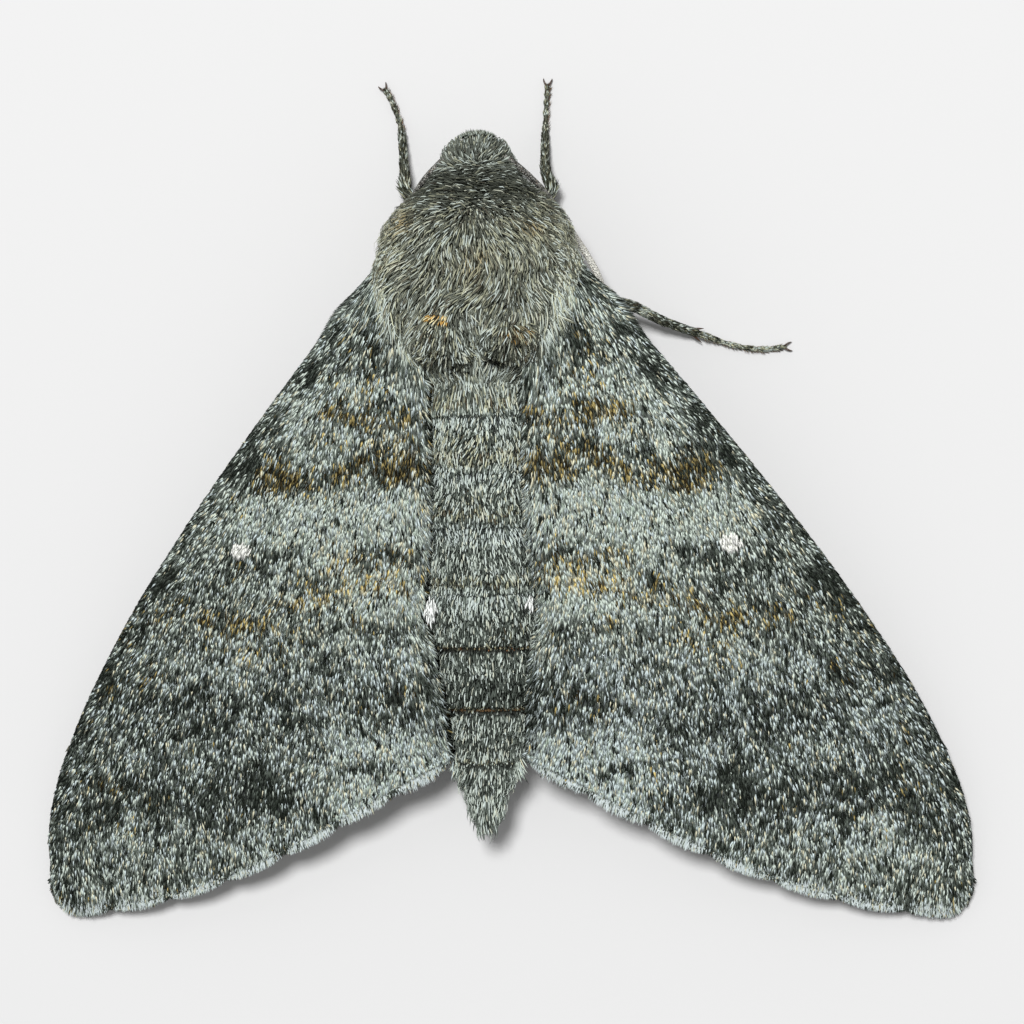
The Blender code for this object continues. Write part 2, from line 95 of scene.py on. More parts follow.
COSTA_BASE, COSTA_OUT = (4.45, -12.0), (8.60, -6.95)
COSTA_IN, COSTA_END = (23.85, 10.1), (23.15, 17.6)
APEX_A, APEX_B, APEX_END = (23.30, 19.6), (22.95, 20.72), (21.6, 20.80)
MARGIN_A, MARGIN_B, TORNUS_OUT = (13.2, 20.05), (8.4, 16.22), (2.75, 13.22)
TORNUS_A, TORNUS_B, TORNUS_IN = (2.18, 13.05), (1.90, 12.75), (1.84, 12.1)
INNER_BASE = (2.35, -6.25)
INNER_REST, INNER_BULGE, BULGE_Y, BULGE_LEN = 2.36, 0.46, 4.9, 2.3
SCALLOPS, SCALLOP_DEPTH = 7, 0.26
COSTA_HIGH, COSTA_LOW = 4.95, 0.62
INNER_LINE = ((-6.5, 7.20), (-3.5, 7.02), (0.0, 6.88), (3.0, 6.45), (6.5, 5.82),
              (10.0, 5.28), (12.9, 4.48), (20.8, 4.25))
WING_CAMBER, HIND_DROP = 0.55, 0.88
HIND_BASE_A, HIND_BASE_B = (4.9, -8.7), (3.95, -6.2)
HIND_COSTA = ((8.6, -3.0), (13.6, 3.5), (15.0, 8.6))
HIND_MARGIN = ((14.2, 11.2), (7.2, 12.9), (4.45, 11.2))
HIND_INNER = ((3.8, 8.0), (4.35, 0.0))
EYE_AT, EYE_R = (1.03, -15.99, 3.52), 0.92
TONGUE_AT, TONGUE_R, TONGUE_THICK = (0.0, -16.55, 1.85), 0.50, 0.38
PALP = ((0.62, -15.60, 2.35, 0.30), (0.66, -16.25, 2.05, 0.42), (0.66, -16.95, 2.45, 0.44),
        (0.60, -17.25, 3.20, 0.38), (0.52, -17.25, 3.85, 0.24))
ANTENNA = (
    (1.40, -16.55, 5.45, 0.24), (1.78, -16.28, 5.45, 0.27), (2.60, -15.55, 5.05, 0.27),
    (3.38, -14.62, 4.25, 0.26), (4.40, -12.90, 3.38, 0.26), (5.55, -10.95, 3.45, 0.26),
    (6.75, -8.95, 3.40, 0.25), (7.60, -7.45, 3.30, 0.25), (8.40, -6.20, 3.10, 0.25),
)
FORE_LEFT = ((1.10, -13.30, 2.95, 0.55), (2.70, -14.30, 1.70, 0.50), (3.95, -15.25, 1.75, 0.38),
             (4.20, -16.45, 1.30, 0.31), (4.33, -17.55, 0.85, 0.28), (4.46, -18.45, 0.45, 0.25),
             (4.62, -19.10, 0.22, 0.25), (5.00, -20.15, 0.20, 0.25), (5.30, -20.68, 0.19, 0.22))
FORE_RIGHT = ((-1.10, -13.20, 2.95, 0.55), (-2.30, -14.10, 1.70, 0.50), (-3.15, -15.05, 1.70, 0.38),
              (-2.88, -16.30, 1.30, 0.31), (-2.80, -17.30, 0.80, 0.28), (-2.78, -18.20, 0.42, 0.25),
              (-2.80, -19.15, 0.22, 0.25), (-2.86, -20.05, 0.20, 0.25), (-2.90, -20.60, 0.19, 0.22))
MID_RIGHT = ((-1.30, -10.60, 3.00, 0.60), (-3.20, -10.10, 2.00, 0.52), (-5.20, -9.70, 2.55, 0.46),
             (-7.05, -9.40, 2.35, 0.38), (-8.60, -8.65, 1.45, 0.30), (-10.25, -8.05, 0.62, 0.27),
             (-11.85, -7.48, 0.26, 0.25), (-13.25, -7.22, 0.20, 0.25), (-14.45, -7.30, 0.19, 0.22))
MID_LEFT = ((1.30, -10.60, 3.00, 0.60), (3.20, -10.05, 2.00, 0.52), (5.30, -9.00, 2.50, 0.46),
            (7.20, -6.90, 2.20, 0.38), (8.50, -4.60, 1.35, 0.30), (9.30, -3.00, 0.75, 0.27),
            (10.20, -1.10, 0.26, 0.25), (10.90, 0.60, 0.20, 0.25), (11.20, 1.60, 0.19, 0.22))
HIND = ((1.20, -7.80, 3.00, 0.60), (2.90, -6.90, 1.45, 0.50), (4.60, -5.40, 1.90, 0.46),
        (5.35, -2.20, 1.70, 0.38), (5.75, 0.80, 1.10, 0.30), (6.05, 3.00, 0.55, 0.27),
        (6.30, 4.80, 0.22, 0.25), (6.75, 6.90, 0.20, 0.25), (7.05, 8.20, 0.19, 0.22))
LEGS = {
    "foreleg_left": FORE_LEFT, "foreleg_right": FORE_RIGHT,
    "midleg_left": MID_LEFT, "midleg_right": MID_RIGHT,
    "hindleg_left": HIND, "hindleg_right": tuple((-x, y, z, r) for x, y, z, r in HIND),
}
SIDES = {"left": 1.0, "right": -1.0}


# ------------------------------------------------------------------ maths
def smoothstep(t):
    t = np.clip(t, 0.0, 1.0)
    return t * t * (3.0 - 2.0 * t)


def unit(v):
    return v / np.maximum(np.linalg.norm(v, axis=-1, keepdims=True), 1e-9)


def monotone(xs, ys, x):
    xs, ys, x = np.asarray(xs, float), np.asarray(ys, float), np.asarray(x, float)
    h = np.diff(xs)
    d = np.diff(ys) / h
    m = np.zeros_like(ys)
    m[0], m[-1] = d[0], d[-1]
    same = d[:-1] * d[1:] > 0
    w1, w2 = 2 * h[1:] + h[:-1], h[1:] + 2 * h[:-1]
    with np.errstate(divide="ignore", invalid="ignore"):
        inner = (w1 + w2) / (w1 / d[:-1] + w2 / d[1:])
    m[1:-1] = np.where(same, inner, 0.0)
    i = np.clip(np.searchsorted(xs, x) - 1, 0, len(h) - 1)
    t = np.clip((x - xs[i]) / h[i], 0.0, 1.0)
    a, b = 2 * t**3 - 3 * t**2 + 1, t**3 - 2 * t**2 + t
    c, e = -2 * t**3 + 3 * t**2, t**3 - t**2
    return a * ys[i] + b * h[i] * m[i] + c * ys[i + 1] + e * h[i] * m[i + 1]


def lattice(i, j, k, seed):
    """A repeatable random number from 0 to 1 for each whole-number place."""
    m = np.uint64(0xFFFFFFFF)
    h = (i.astype(np.int64).astype(np.uint64) * np.uint64(374761393)
         + j.astype(np.int64).astype(np.uint64) * np.uint64(668265263)
         + k.astype(np.int64).astype(np.uint64) * np.uint64(2246822519)
         + np.uint64(seed * 3266489917 + 12345)) & m
    h = ((h ^ (h >> np.uint64(15))) * np.uint64(2246822519)) & m
    h = ((h ^ (h >> np.uint64(13))) * np.uint64(3266489917)) & m
    return ((h ^ (h >> np.uint64(16))) & m).astype(float) / 4294967295.0


def noise(p, size, seed=0):
    """Smooth noise from -1 to 1 with blobs about size mm across."""
    q = np.asarray(p, float) / size + 137.0
    f = np.floor(q)
    t = q - f
    t = t * t * (3 - 2 * t)
    out = 0.0
    for a in (0, 1):
        for b in (0, 1):
            for c in (0, 1):
                w = ((t[..., 0] if a else 1 - t[..., 0]) * (t[..., 1] if b else 1 - t[..., 1])
                     * (t[..., 2] if c else 1 - t[..., 2]))
                out = out + w * lattice(f[..., 0] + a, f[..., 1] + b, f[..., 2] + c, seed)
    return out * 2 - 1


def bezier(p0, p1, p2, p3, n):
    t = np.linspace(0.0, 1.0, n)[:, None]
    p0, p1, p2, p3 = (np.asarray(p, float) for p in (p0, p1, p2, p3))
    return (1 - t)**3 * p0 + 3 * (1 - t)**2 * t * p1 + 3 * (1 - t) * t * t * p2 + t**3 * p3


def resample(line, n):
    step = np.linalg.norm(np.diff(line, axis=0), axis=1)
    run = np.concatenate(([0.0], np.cumsum(step)))
    t = np.linspace(0.0, 1.0, n) * run[-1]
    return np.stack([np.interp(t, run, line[:, k]) for k in range(line.shape[1])], 1)


def smooth_path(points, per_leg):
    p = np.asarray(points, float)
    p = np.vstack([2 * p[0] - p[1], p, 2 * p[-1] - p[-2]])
    rows = []
    for i in range(1, len(p) - 2):
        for t in np.linspace(0, 1, per_leg, endpoint=False):
            a, b, c, d = p[i - 1], p[i], p[i + 1], p[i + 2]
            rows.append(0.5 * (2 * b + (c - a) * t + (2 * a - 5 * b + 4 * c - d) * t * t
                               + (3 * b - a - 3 * c + d) * t**3))
    rows.append(p[-2])
    return np.array(rows)


class Patch:
    """A grid of points over u (rows) and v (columns), read between its nodes."""

    def __init__(self, grid):
        self.g = grid
        du, dv = np.gradient(grid, axis=0), np.gradient(grid, axis=1)
        self.du, self.dv = du * (grid.shape[0] - 1), dv * (grid.shape[1] - 1)
        self.n = unit(np.cross(self.du, self.dv))

    def read(self, table, u, v):
        nu, nv = table.shape[:2]
        x, y = np.clip(u, 0, 1) * (nu - 1), np.clip(v, 0, 1) * (nv - 1)
        i, j = np.minimum(x.astype(int), nu - 2), np.minimum(y.astype(int), nv - 2)
        s, t = (x - i)[:, None], (y - j)[:, None]
        if table.ndim == 2:
            s, t = s[:, 0], t[:, 0]
        return ((1 - s) * (1 - t) * table[i, j] + s * (1 - t) * table[i + 1, j]
                + (1 - s) * t * table[i, j + 1] + s * t * table[i + 1, j + 1])

    def cells(self, nu, nv, density, rng, window=(0.0, 1.0, 0.0, 1.0), jitter=0.8):
        """One root in each cell of a grid over part of the patch, thinned to the
        wanted number per mm2.  Returns u, v and where its patch of the map lies."""
        i, j = np.meshgrid(np.arange(nu), np.arange(nv), indexing="ij")
        i, j = i.ravel(), j.ravel()
        cu, cv = (i + 0.5) / nu, (j + 0.5) / nv
        du, dv = window[1] - window[0], window[3] - window[2]
        u, v = window[0] + du * cu, window[2] + dv * cv
        area = du * dv * np.linalg.norm(np.cross(self.read(self.du, u, v), self.read(self.dv, u, v)), axis=1)
        want = density(u, v) if callable(density) else density
        keep = rng.random(len(cu)) < want * area / (nu * nv)
        u, v, cu, cv = u[keep], v[keep], cu[keep], cv[keep]
        u = u + jitter * du * (rng.random(len(cu)) - 0.5) / nu
        v = v + jitter * dv * (rng.random(len(cu)) - 0.5) / nv
        return u, v, np.stack([cu, cv], 1)


# ------------------------------------------------------------------ trunk
def section(y):
    ys = [s[0] for s in TRUNK]
    return [monotone(ys, [s[k] for s in TRUNK], y) for k in (1, 2, 3, 4)]


def ring_step(y):
    out = np.zeros_like(y)
    for a, b in zip((WAIST_Y,) + RING_ENDS, RING_ENDS):
        inside = (y > a) & (y <= b)
        out = np.where(inside, RING_STEP * smoothstep((y - a) / (b - a)) - 0.4 * RING_STEP, out)
    return out


def trunk_outer(y, a):
    """Outer surface of the trunk's coat, in mm, for arrays of y and angle."""
    w, top, low, mid = section(y)
    c, s = np.cos(a), np.sin(a)
    n = np.where(y < NECK_Y, HEAD_ROUND,
                 CHEST_ROUND + (BELLY_ROUND - CHEST_ROUND) * smoothstep((y + 8) / 4))
    n = np.where(s < 0, UNDER_ROUND, n)
    x = w * np.sign(c) * np.abs(c) ** (2 / n)
    z = mid + np.where(s > 0, top - mid, mid - low) * np.sign(s) * np.abs(s) ** (2 / n)
    out = unit(np.stack([x / np.maximum(w, 0.1), 0 * x, (z - mid) / np.maximum(top - mid, 0.1)], -1))
    up = smoothstep((z - mid) / 1.5)
    ax = np.abs(x)
    rise = TUFT_RISE * up * np.exp(-((ax - TUFT_X) / 1.05) ** 2 - ((y - TUFT_Y) / 0.95) ** 2)
    rise -= FURROW_DEPTH * up * np.exp(-(ax / 0.6) ** 2 - ((y + 7.0) / 1.2) ** 2)
    lap = smoothstep((y + 14.0) / 1.2) * smoothstep((-7.6 - y) / 1.2)
    rise += LAPPET_RISE * lap * up * np.exp(-((ax - LAPPET_X) / 0.75) ** 2)
    rise -= 0.5 * LAPPET_RISE * lap * up * np.exp(-((ax - LAPPET_X + 1.15) / 0.45) ** 2)
    rise = rise + np.where(y > WAIST_Y, ring_step(y), 0.0)
    bend = TAIL_BEND * smoothstep((y - 11.3) / 3.2)
    return np.stack([x + bend, y + 0 * x, z], -1) + out * rise[..., None]


def coat_depth(y, s):
    """How far the skin lies inside the tips of the coat; s is the sine of the ring angle."""
    d = (0.14 + 0.12 * smoothstep((y + 17.55) / 0.3) + 0.14 * smoothstep((y + 17.0) / 1.5) + 0.16 * smoothstep((y + 14.8) / 2.0)
         - 0.24 * smoothstep((y + 7.0) / 2.5) - 0.05 * smoothstep((y - 11.0) / 3.0))
    return d * (1 - 0.30 * smoothstep(-s * 1.5))


SKIN_Y0, SKIN_Y1 = -17.52, 16.05
N_LONG, N_ROUND = 480, 180
_y = np.linspace(SKIN_Y0, SKIN_Y1, N_LONG)[:, None] + np.zeros((1, N_ROUND + 1))
_a = np.linspace(-0.5 * math.pi, 1.5 * math.pi, N_ROUND + 1)[None, :] + np.zeros((N_LONG, 1))
outer_patch = Patch(trunk_outer(_y, _a))
_n = -outer_patch.n
_n[:, -1] = _n[:, 0] = unit(_n[:, -1] + _n[:, 0])
if np.mean(_n[N_LONG // 2, N_ROUND // 2]) and _n[N_LONG // 2, N_ROUND // 2, 2] < 0:
    _n = -_n
SKIN_GRID = outer_patch.g - _n * coat_depth(_y, np.sin(_a))[..., None]
trunk_patch = Patch(SKIN_GRID)
trunk_patch.n = _n


# ------------------------------------------------------------------ wings
def inner_margin(y):
    return (INNER_REST - 0.36 * smoothstep((y - 5.5) / 6.5)
            + INNER_BULGE * np.exp(-((y - BULGE_Y) / BULGE_LEN) ** 2))


def margin_line():
    margin = np.vstack([bezier(COSTA_END, APEX_A, APEX_B, APEX_END, 60)[33:],
                        bezier(APEX_END, MARGIN_A, MARGIN_B, TORNUS_OUT, 160)[1:],
                        bezier(TORNUS_OUT, TORNUS_A, TORNUS_B, TORNUS_IN, 40)[1:22]])
    return resample(margin, 400)


def forewing_edges(n_along, n_across):
    costa = np.vstack([bezier(COSTA_BASE, COSTA_OUT, COSTA_IN, COSTA_END, 120),
                       bezier(COSTA_END, APEX_A, APEX_B, APEX_END, 60)[1:34]])
    margin = margin_line()
    tornus = bezier(TORNUS_OUT, TORNUS_A, TORNUS_B, TORNUS_IN, 40)[21:][::-1]
    ys = np.linspace(INNER_BASE[1], TORNUS_IN[1], 90)
    inner = np.vstack([np.stack([inner_margin(ys), ys], 1), tornus[1:]])
    root = np.linspace(COSTA_BASE, INNER_BASE, 20)
    return (resample(costa, n_along), resample(inner, n_along),
            resample(root, n_across), resample(margin, n_across))


def coons(c0, c1, r0, r1):
    nu, nv = len(c0), len(r0)
    u = np.linspace(0, 1, nu)[:, None, None]
    v = np.linspace(0, 1, nv)[None, :, None]
    corners = ((1 - u) * (1 - v) * c0[0] + u * (1 - v) * c0[-1]
               + (1 - u) * v * c1[0] + u * v * c1[-1])
    return ((1 - v) * c0[:, None] + v * c1[:, None]
            + (1 - u) * r0[None] + u * r1[None] - corners)


def edge_table():
    costa = np.vstack([bezier(COSTA_BASE, COSTA_OUT, COSTA_IN, COSTA_END, 120),
                       bezier(COSTA_END, APEX_A, APEX_B, APEX_END, 60)])
    order = np.argsort(costa[:, 1])
    return costa[order, 1], costa[order, 0]


EDGE_Y, EDGE_X = edge_table()


def wing_height(x, y):
    """Height of the forewing's middle surface, in mm, for x on the left wing."""
    t = np.clip((y + 12.0) / 32.6, 0.0, 1.0)
    costa = COSTA_LOW + (COSTA_HIGH - COSTA_LOW) * (1 - smoothstep((t - 0.06) / 0.98)) ** 0.95
    inner = monotone([p[0] for p in INNER_LINE], [p[1] for p in INNER_LINE], y)
    x_out = np.interp(y, EDGE_Y, EDGE_X)
    q = np.clip((x - inner_margin(np.clip(y, -6, 12.5))) / np.maximum(x_out - 2.2, 1.0), 0.0, 1.0)
    return inner + (costa - inner) * q + WING_CAMBER * np.sin(math.pi * q) * (1 - 0.35 * t)


# Veins: place across the wing near the base and at the margin, from costa to inner edge.
VEINS = ((0.07, 0.05), (0.10, 0.15), (0.13, 0.26), (0.16, 0.38), (0.40, 0.50),
         (0.43, 0.62), (0.46, 0.74), (0.80, 0.87))


def vein_relief(u, v, width):
    out = 0.0
    for a, b in VEINS:
        at = a + (b - a) * smoothstep((u - 0.22) / 0.55)
        out = out + np.exp(-((v - at) * width / 0.16) ** 2)
    return 0.045 * out * smoothstep(u / 0.12) * smoothstep((1.0 - u) / 0.05)


def inset(grid, costa_gap, inner_gap, margin_gap):
    """The same sheet, drawn in from its edges by the coat that hangs over them."""
    nu, nv = grid.shape[:2]
    along = np.linalg.norm(np.diff(grid, axis=0), axis=2).sum(0)
    across = np.linalg.norm(np.diff(grid, axis=1), axis=2).sum(1)
    p = Patch(grid)
    u = np.linspace(0, 1, nu)[:, None] * (1 - margin_gap / along)[None, :]
    v0, v1 = (costa_gap / across)[:, None], (inner_gap / across)[:, None]
    v = v0 + (1 - v0 - v1) * np.linspace(0, 1, nv)[None, :]
    return p.read(grid, u.ravel(), v.ravel()).reshape(nu, nv, -1)


def forewing_sheet(nu, nv):
    plan = coons(*forewing_edges(nu, nv))
    z = wing_height(plan[..., 0], plan[..., 1])
    return inset(np.dstack([plan, z]), 0.12, 0.16, 0.42)


def hindwing_sheet(nu, nv):
    costa = resample(bezier(HIND_BASE_A, *HIND_COSTA, 60), nu)
    inner = resample(bezier(HIND_BASE_B, HIND_INNER[1], HIND_INNER[0], HIND_MARGIN[2], 60), nu)
    root = np.linspace(HIND_BASE_A, HIND_BASE_B, nv)
    margin = resample(bezier(HIND_COSTA[2], *HIND_MARGIN, 60), nv)
    plan = coons(costa, inner, root, margin)
    z = wing_height(plan[..., 0], plan[..., 1]) - HIND_DROP
    return inset(np.dstack([plan, z]), 0.15, 0.15, 0.35)


class Wing:
    """Upper and lower skin of one left wing; mirrored later for the right."""

    def __init__(self, sheet, half, veins):
        self.mid = Patch(sheet)
        nu, nv = sheet.shape[:2]
        u = np.linspace(0, 1, nu)[:, None] + np.zeros((1, nv))
        v = np.linspace(0, 1, nv)[None, :] + np.zeros((nu, 1))
        width = np.linalg.norm(np.diff(sheet, axis=1), axis=2).sum(1)[:, None]
        normal = self.mid.n
        if normal[nu // 2, nv // 2, 2] < 0:
            normal = -normal
        taper = smoothstep(np.minimum(v * width, (1 - v) * width) / 0.5 + 0.25)
        thin = half * (0.45 + 0.55 * smoothstep((1 - u) / 0.10)) * taper
        thin = thin + 0.07 * np.exp(-(v * width / 0.45) ** 2) * smoothstep((1 - u) / 0.3)
        relief = vein_relief(u, v, width) if veins else 0.0
        self.top = Patch(sheet + normal * (thin + relief)[..., None])
        self.under = Patch(sheet - normal * (thin + 0.6 * relief)[..., None])
        self.top.n, self.under.n = normal, -normal


forewing = Wing(forewing_sheet(260, 300), 0.075, True)
hindwing = Wing(hindwing_sheet(120, 120), 0.075, False)

# ------------------------------------------------------------------ markings
# Each mark: x from the midline, y, half length, half width, turn in degrees,
# darker (-) or paler (+) in stops, and how ochre it is.
BASAL = (
    (4.9, -7.4, 0.55, 1.00, 10, -1.25, 0.10), (7.1, -8.1, 0.60, 0.45, 0, -0.70, 0.0),
    (8.5, -6.2, 0.75, 0.50, 35, -1.35, 0.0), (9.7, -5.4, 0.50, 0.40, 30, -0.45, 0.0),
    (5.7, -5.6, 0.90, 0.45, 0, 0.45, 0.15), (6.2, -7.1, 0.60, 0.60, 0, -0.15, 0.1),
    (4.9, -4.55, 0.60, 0.20, 15, -0.80, 0.35), (4.3, -5.3, 0.60, 0.35, 0, 0.45, 0.1), (6.5, -5.1, 0.60, 0.40, 0, 0.45, 0.1), (7.5, -4.5, 0.40, 0.30, 0, 0.30, 0.0), (4.4, -9.8, 0.60, 0.90, 0, 0.45, 0.0), (3.6, -2.9, 0.50, 0.25, 0, 0.30, 0.3), (6.2, -4.15, 0.80, 0.30, -5, -0.45, 1.0),
    (7.2, -4.3, 0.35, 0.30, 0, -0.25, 0.5), (3.2, -3.95, 0.90, 0.38, 10, -0.60, 0.55),
    (5.1, -3.8, 0.50, 0.30, 0, -0.35, 0.3), (6.4, -3.0, 0.90, 0.50, 0, 0.60, 0.1),
    (8.0, -5.0, 0.70, 0.90, -20, 0.35, 0.0), (9.1, -3.3, 0.50, 0.90, -30, 0.40, 0.0),
)
COSTAL_BARS = (
    (10.6, -3.7, 0.42, 0.75, -30, -1.45, 0.0), (11.2, -2.9, 0.35, 0.30, 0, -0.55, 0.0),
    (11.7, -1.95, 0.62, 0.38, 18, -1.75, -0.2), (12.6, -1.5, 0.45, 0.30, 35, -0.8, 0.0),
    (15.8, 3.4, 0.50, 0.35, 35, -0.65, 0.0), (16.45, 4.05, 0.65, 0.50, 38, -1.95, -0.2),
    (17.4, 4.9, 0.50, 0.30, 45, -0.60, 0.2), (18.4, 6.3, 0.42, 0.55, -20, -0.75, 0.1),
    (19.6, 8.6, 0.50, 0.60, -20, -1.10, 0.1), (19.0, 9.1, 0.50, 0.30, 0, -0.35, 0.1),
)
FIRST_BAND = (
    (3.1, -1.60, 0.85, 0.50, 0, -1.20, 0.85), (4.2, -1.30, 0.50, 0.35, 0, -0.80, 0.8),
    (4.6, -2.30, 0.45, 0.32, -45, -0.80, 0.4), (5.3, -2.30, 0.55, 0.36, 30, -1.20, 0.30),
    (6.0, -1.80, 0.50, 0.35, 40, -0.90, 0.6), (6.9, -1.20, 0.50, 0.32, 15, -0.85, 0.6),
    (8.2, -0.80, 0.45, 0.35, 0, -0.85, 0.4), (9.3, -1.20, 0.60, 0.40, 0, -0.95, 0.8),
    (10.5, -1.30, 0.60, 0.45, 0, -0.95, 0.95), (9.8, -0.60, 0.80, 0.26, 0, -0.75, 0.8),
    (10.1, -2.2, 0.40, 0.35, 0, -0.50, 0.2), (7.5, -2.2, 0.60, 0.50, 0, 0.10, 0.0),
    (8.8, -2.5, 0.70, 0.55, 0, 0.65, 0.0), (5.5, -0.9, 0.70, 0.28, 0, 0.30, 0.1),
)
CENTRE = (
    (4.2, 0.9, 1.00, 0.70, 0, 0.35, 0.0), (6.0, 1.0, 0.60, 0.60, 0, 0.20, 0.0),
    (9.8, 2.6, 0.55, 0.36, 0, -0.70, 0.0), (8.0, 2.5, 0.60, 0.45, 0, 0.50, 0.0), (15.2, 2.9, 0.80, 0.50, 30, 0.65, 0.0), (14.5, 2.0, 0.60, 0.50, 0, 0.30, 0.0), (13.6, 1.0, 0.60, 0.60, 0, 0.25, 0.0), (10.9, 2.9, 0.55, 0.50, 0, -0.95, 0.0),
    (12.1, 3.1, 0.60, 0.35, 0, -0.60, 0.05), (13.2, 3.1, 0.90, 0.50, 0, -0.35, 0.0),
    (11.8, 0.8, 0.80, 0.40, 0, 0.15, 0.0), (13.1, 1.2, 0.60, 0.60, 0, 0.10, 0.0),
    (14.4, 2.6, 0.60, 0.50, 0, -0.10, 0.0),
)
SECOND_BAND = (
    (3.2, 3.0, 0.45, 0.26, -35, -0.80, 0.3), (4.1, 2.5, 0.45, 0.24, 0, -0.75, 0.2),
    (5.0, 2.95, 0.40, 0.24, 30, -0.70, 0.3), (6.2, 2.65, 0.50, 0.24, -10, -0.35, 0.5),
    (6.9, 3.1, 0.55, 0.40, 0, 0.35, 0.35), (4.4, 3.8, 1.00, 0.60, 0, 0.62, 0.60),
    (6.3, 4.1, 0.80, 0.45, 10, 0.40, 0.65), (5.2, 5.0, 1.50, 0.50, 0, 0.75, 0.0),
    (8.3, 4.05, 0.50, 0.36, 15, -0.85, 0.5), (7.7, 4.9, 0.70, 0.26, 25, -0.05, 0.65),
    (9.0, 4.9, 0.50, 0.26, 20, 0.05, 0.7), (10.3, 5.1, 0.45, 0.30, 30, -0.60, 0.6),
    (10.9, 5.9, 0.60, 0.26, 20, 0.0, 0.65), (12.3, 5.9, 0.50, 0.32, 0, -0.05, 1.0),
    (11.2, 4.6, 0.60, 0.40, 0, -0.35, 0.0), (14.0, 5.6, 0.50, 0.32, 0, -0.35, 0.55),
    (15.4, 4.9, 0.45, 0.35, 0, -0.50, 0.2), (13.2, 6.4, 0.40, 0.30, 0, -0.20, 0.35),
    (16.6, 5.7, 0.50, 0.35, 0, -0.30, 0.35), (12.8, 4.4, 0.70, 0.50, 0, -0.20, 0.0),
    (3.9, 6.3, 0.60, 0.32, 0, -0.85, -0.3), (5.3, 6.25, 0.60, 0.24, 5, -0.75, 0.1),
    (6.2, 5.85, 0.35, 0.22, 20, -0.45, 0.7), (7.6, 6.2, 0.45, 0.28, 30, -0.40, 0.0),
    (8.4, 6.8, 0.42, 0.32, 30, -0.85, 0.1), (9.2, 6.1, 0.40, 0.25, 0, -0.30, 0.1),
)
OUTER = (
    (9.9, 6.7, 0.50, 0.40, 0, 0.15, 0.4), (11.5, 7.4, 0.90, 0.50, 0, 0.20, 0.3),
    (13.2, 8.2, 1.00, 0.50, 0, 0.35, 0.0), (15.2, 7.9, 0.60, 0.50, 0, 0.20, 0.0),
    (2.9, 8.6, 0.50, 0.50, 0, -0.45, 0.0), (4.2, 9.5, 0.75, 0.50, 0, -0.70, 0.1),
    (2.2, 9.7, 0.45, 0.60, 0, -0.75, 0.0), (5.8, 10.0, 0.60, 0.40, 0, -0.50, 0.2),
    (3.3, 10.2, 0.60, 0.35, 0, -0.40, 0.0), (5.9, 8.3, 0.70, 0.50, 0, 0.30, -0.5),
    (4.4, 7.6, 0.90, 0.40, 0, 0.0, -0.6), (7.9, 8.2, 0.50, 0.50, 0, -0.30, -0.2),
    (7.0, 10.4, 0.70, 0.60, 0, 0.65, -0.2), (12.0, 9.0, 0.40, 0.30, 0, 0.35, 0.0), (17.5, 7.4, 0.60, 0.40, 0, 0.50, 0.0), (18.3, 10.8, 0.80, 0.60, 0, 0.50, 0.0), (15.8, 12.3, 0.70, 0.40, 0, 0.35, 0.0), (8.9, 10.9, 0.50, 0.50, 0, -0.35, 0.0),
    (10.8, 9.3, 0.55, 0.36, 10, -0.95, 0.0), (10.2, 8.5, 0.36, 0.30, 0, -0.45, 0.0),
    (12.6, 9.75, 0.60, 0.36, 0, -0.75, -0.3), (14.8, 9.3, 0.60, 0.36, -10, -0.70, 0.0),
    (16.9, 8.4, 0.60, 0.38, -20, -0.65, 0.25), (17.2, 9.4, 0.50, 0.40, 0, -0.40, 0.0),
    (11.3, 11.1, 0.70, 0.40, 0, -0.25, -0.3), (13.2, 10.5, 0.70, 0.45, 0, -0.45, -0.3),
    (14.6, 11.0, 0.60, 0.45, 0, -0.60, -0.2), (16.3, 10.4, 0.80, 0.50, 0, -0.45, 0.0),
    (9.6, 11.2, 0.50, 0.50, 0, -0.25, 0.0), (19.9, 10.6, 0.80, 0.60, 0, 0.60, 0.0), (8.1, 10.2, 0.50, 0.40, 0, 0.40, 0.0), (7.2, 9.5, 0.60, 0.40, 0, 0.30, 0.0), (12.7, 7.0, 0.70, 0.35, 0, 0.32, 0.0), (11.3, 8.5, 0.60, 0.30, 0, 0.35, 0.0),
    (13.0, 11.4, 0.50, 0.30, 0, -0.25, -0.2), (21.3, 11.0, 0.50, 0.60, 0, -0.25, 0.0),
)
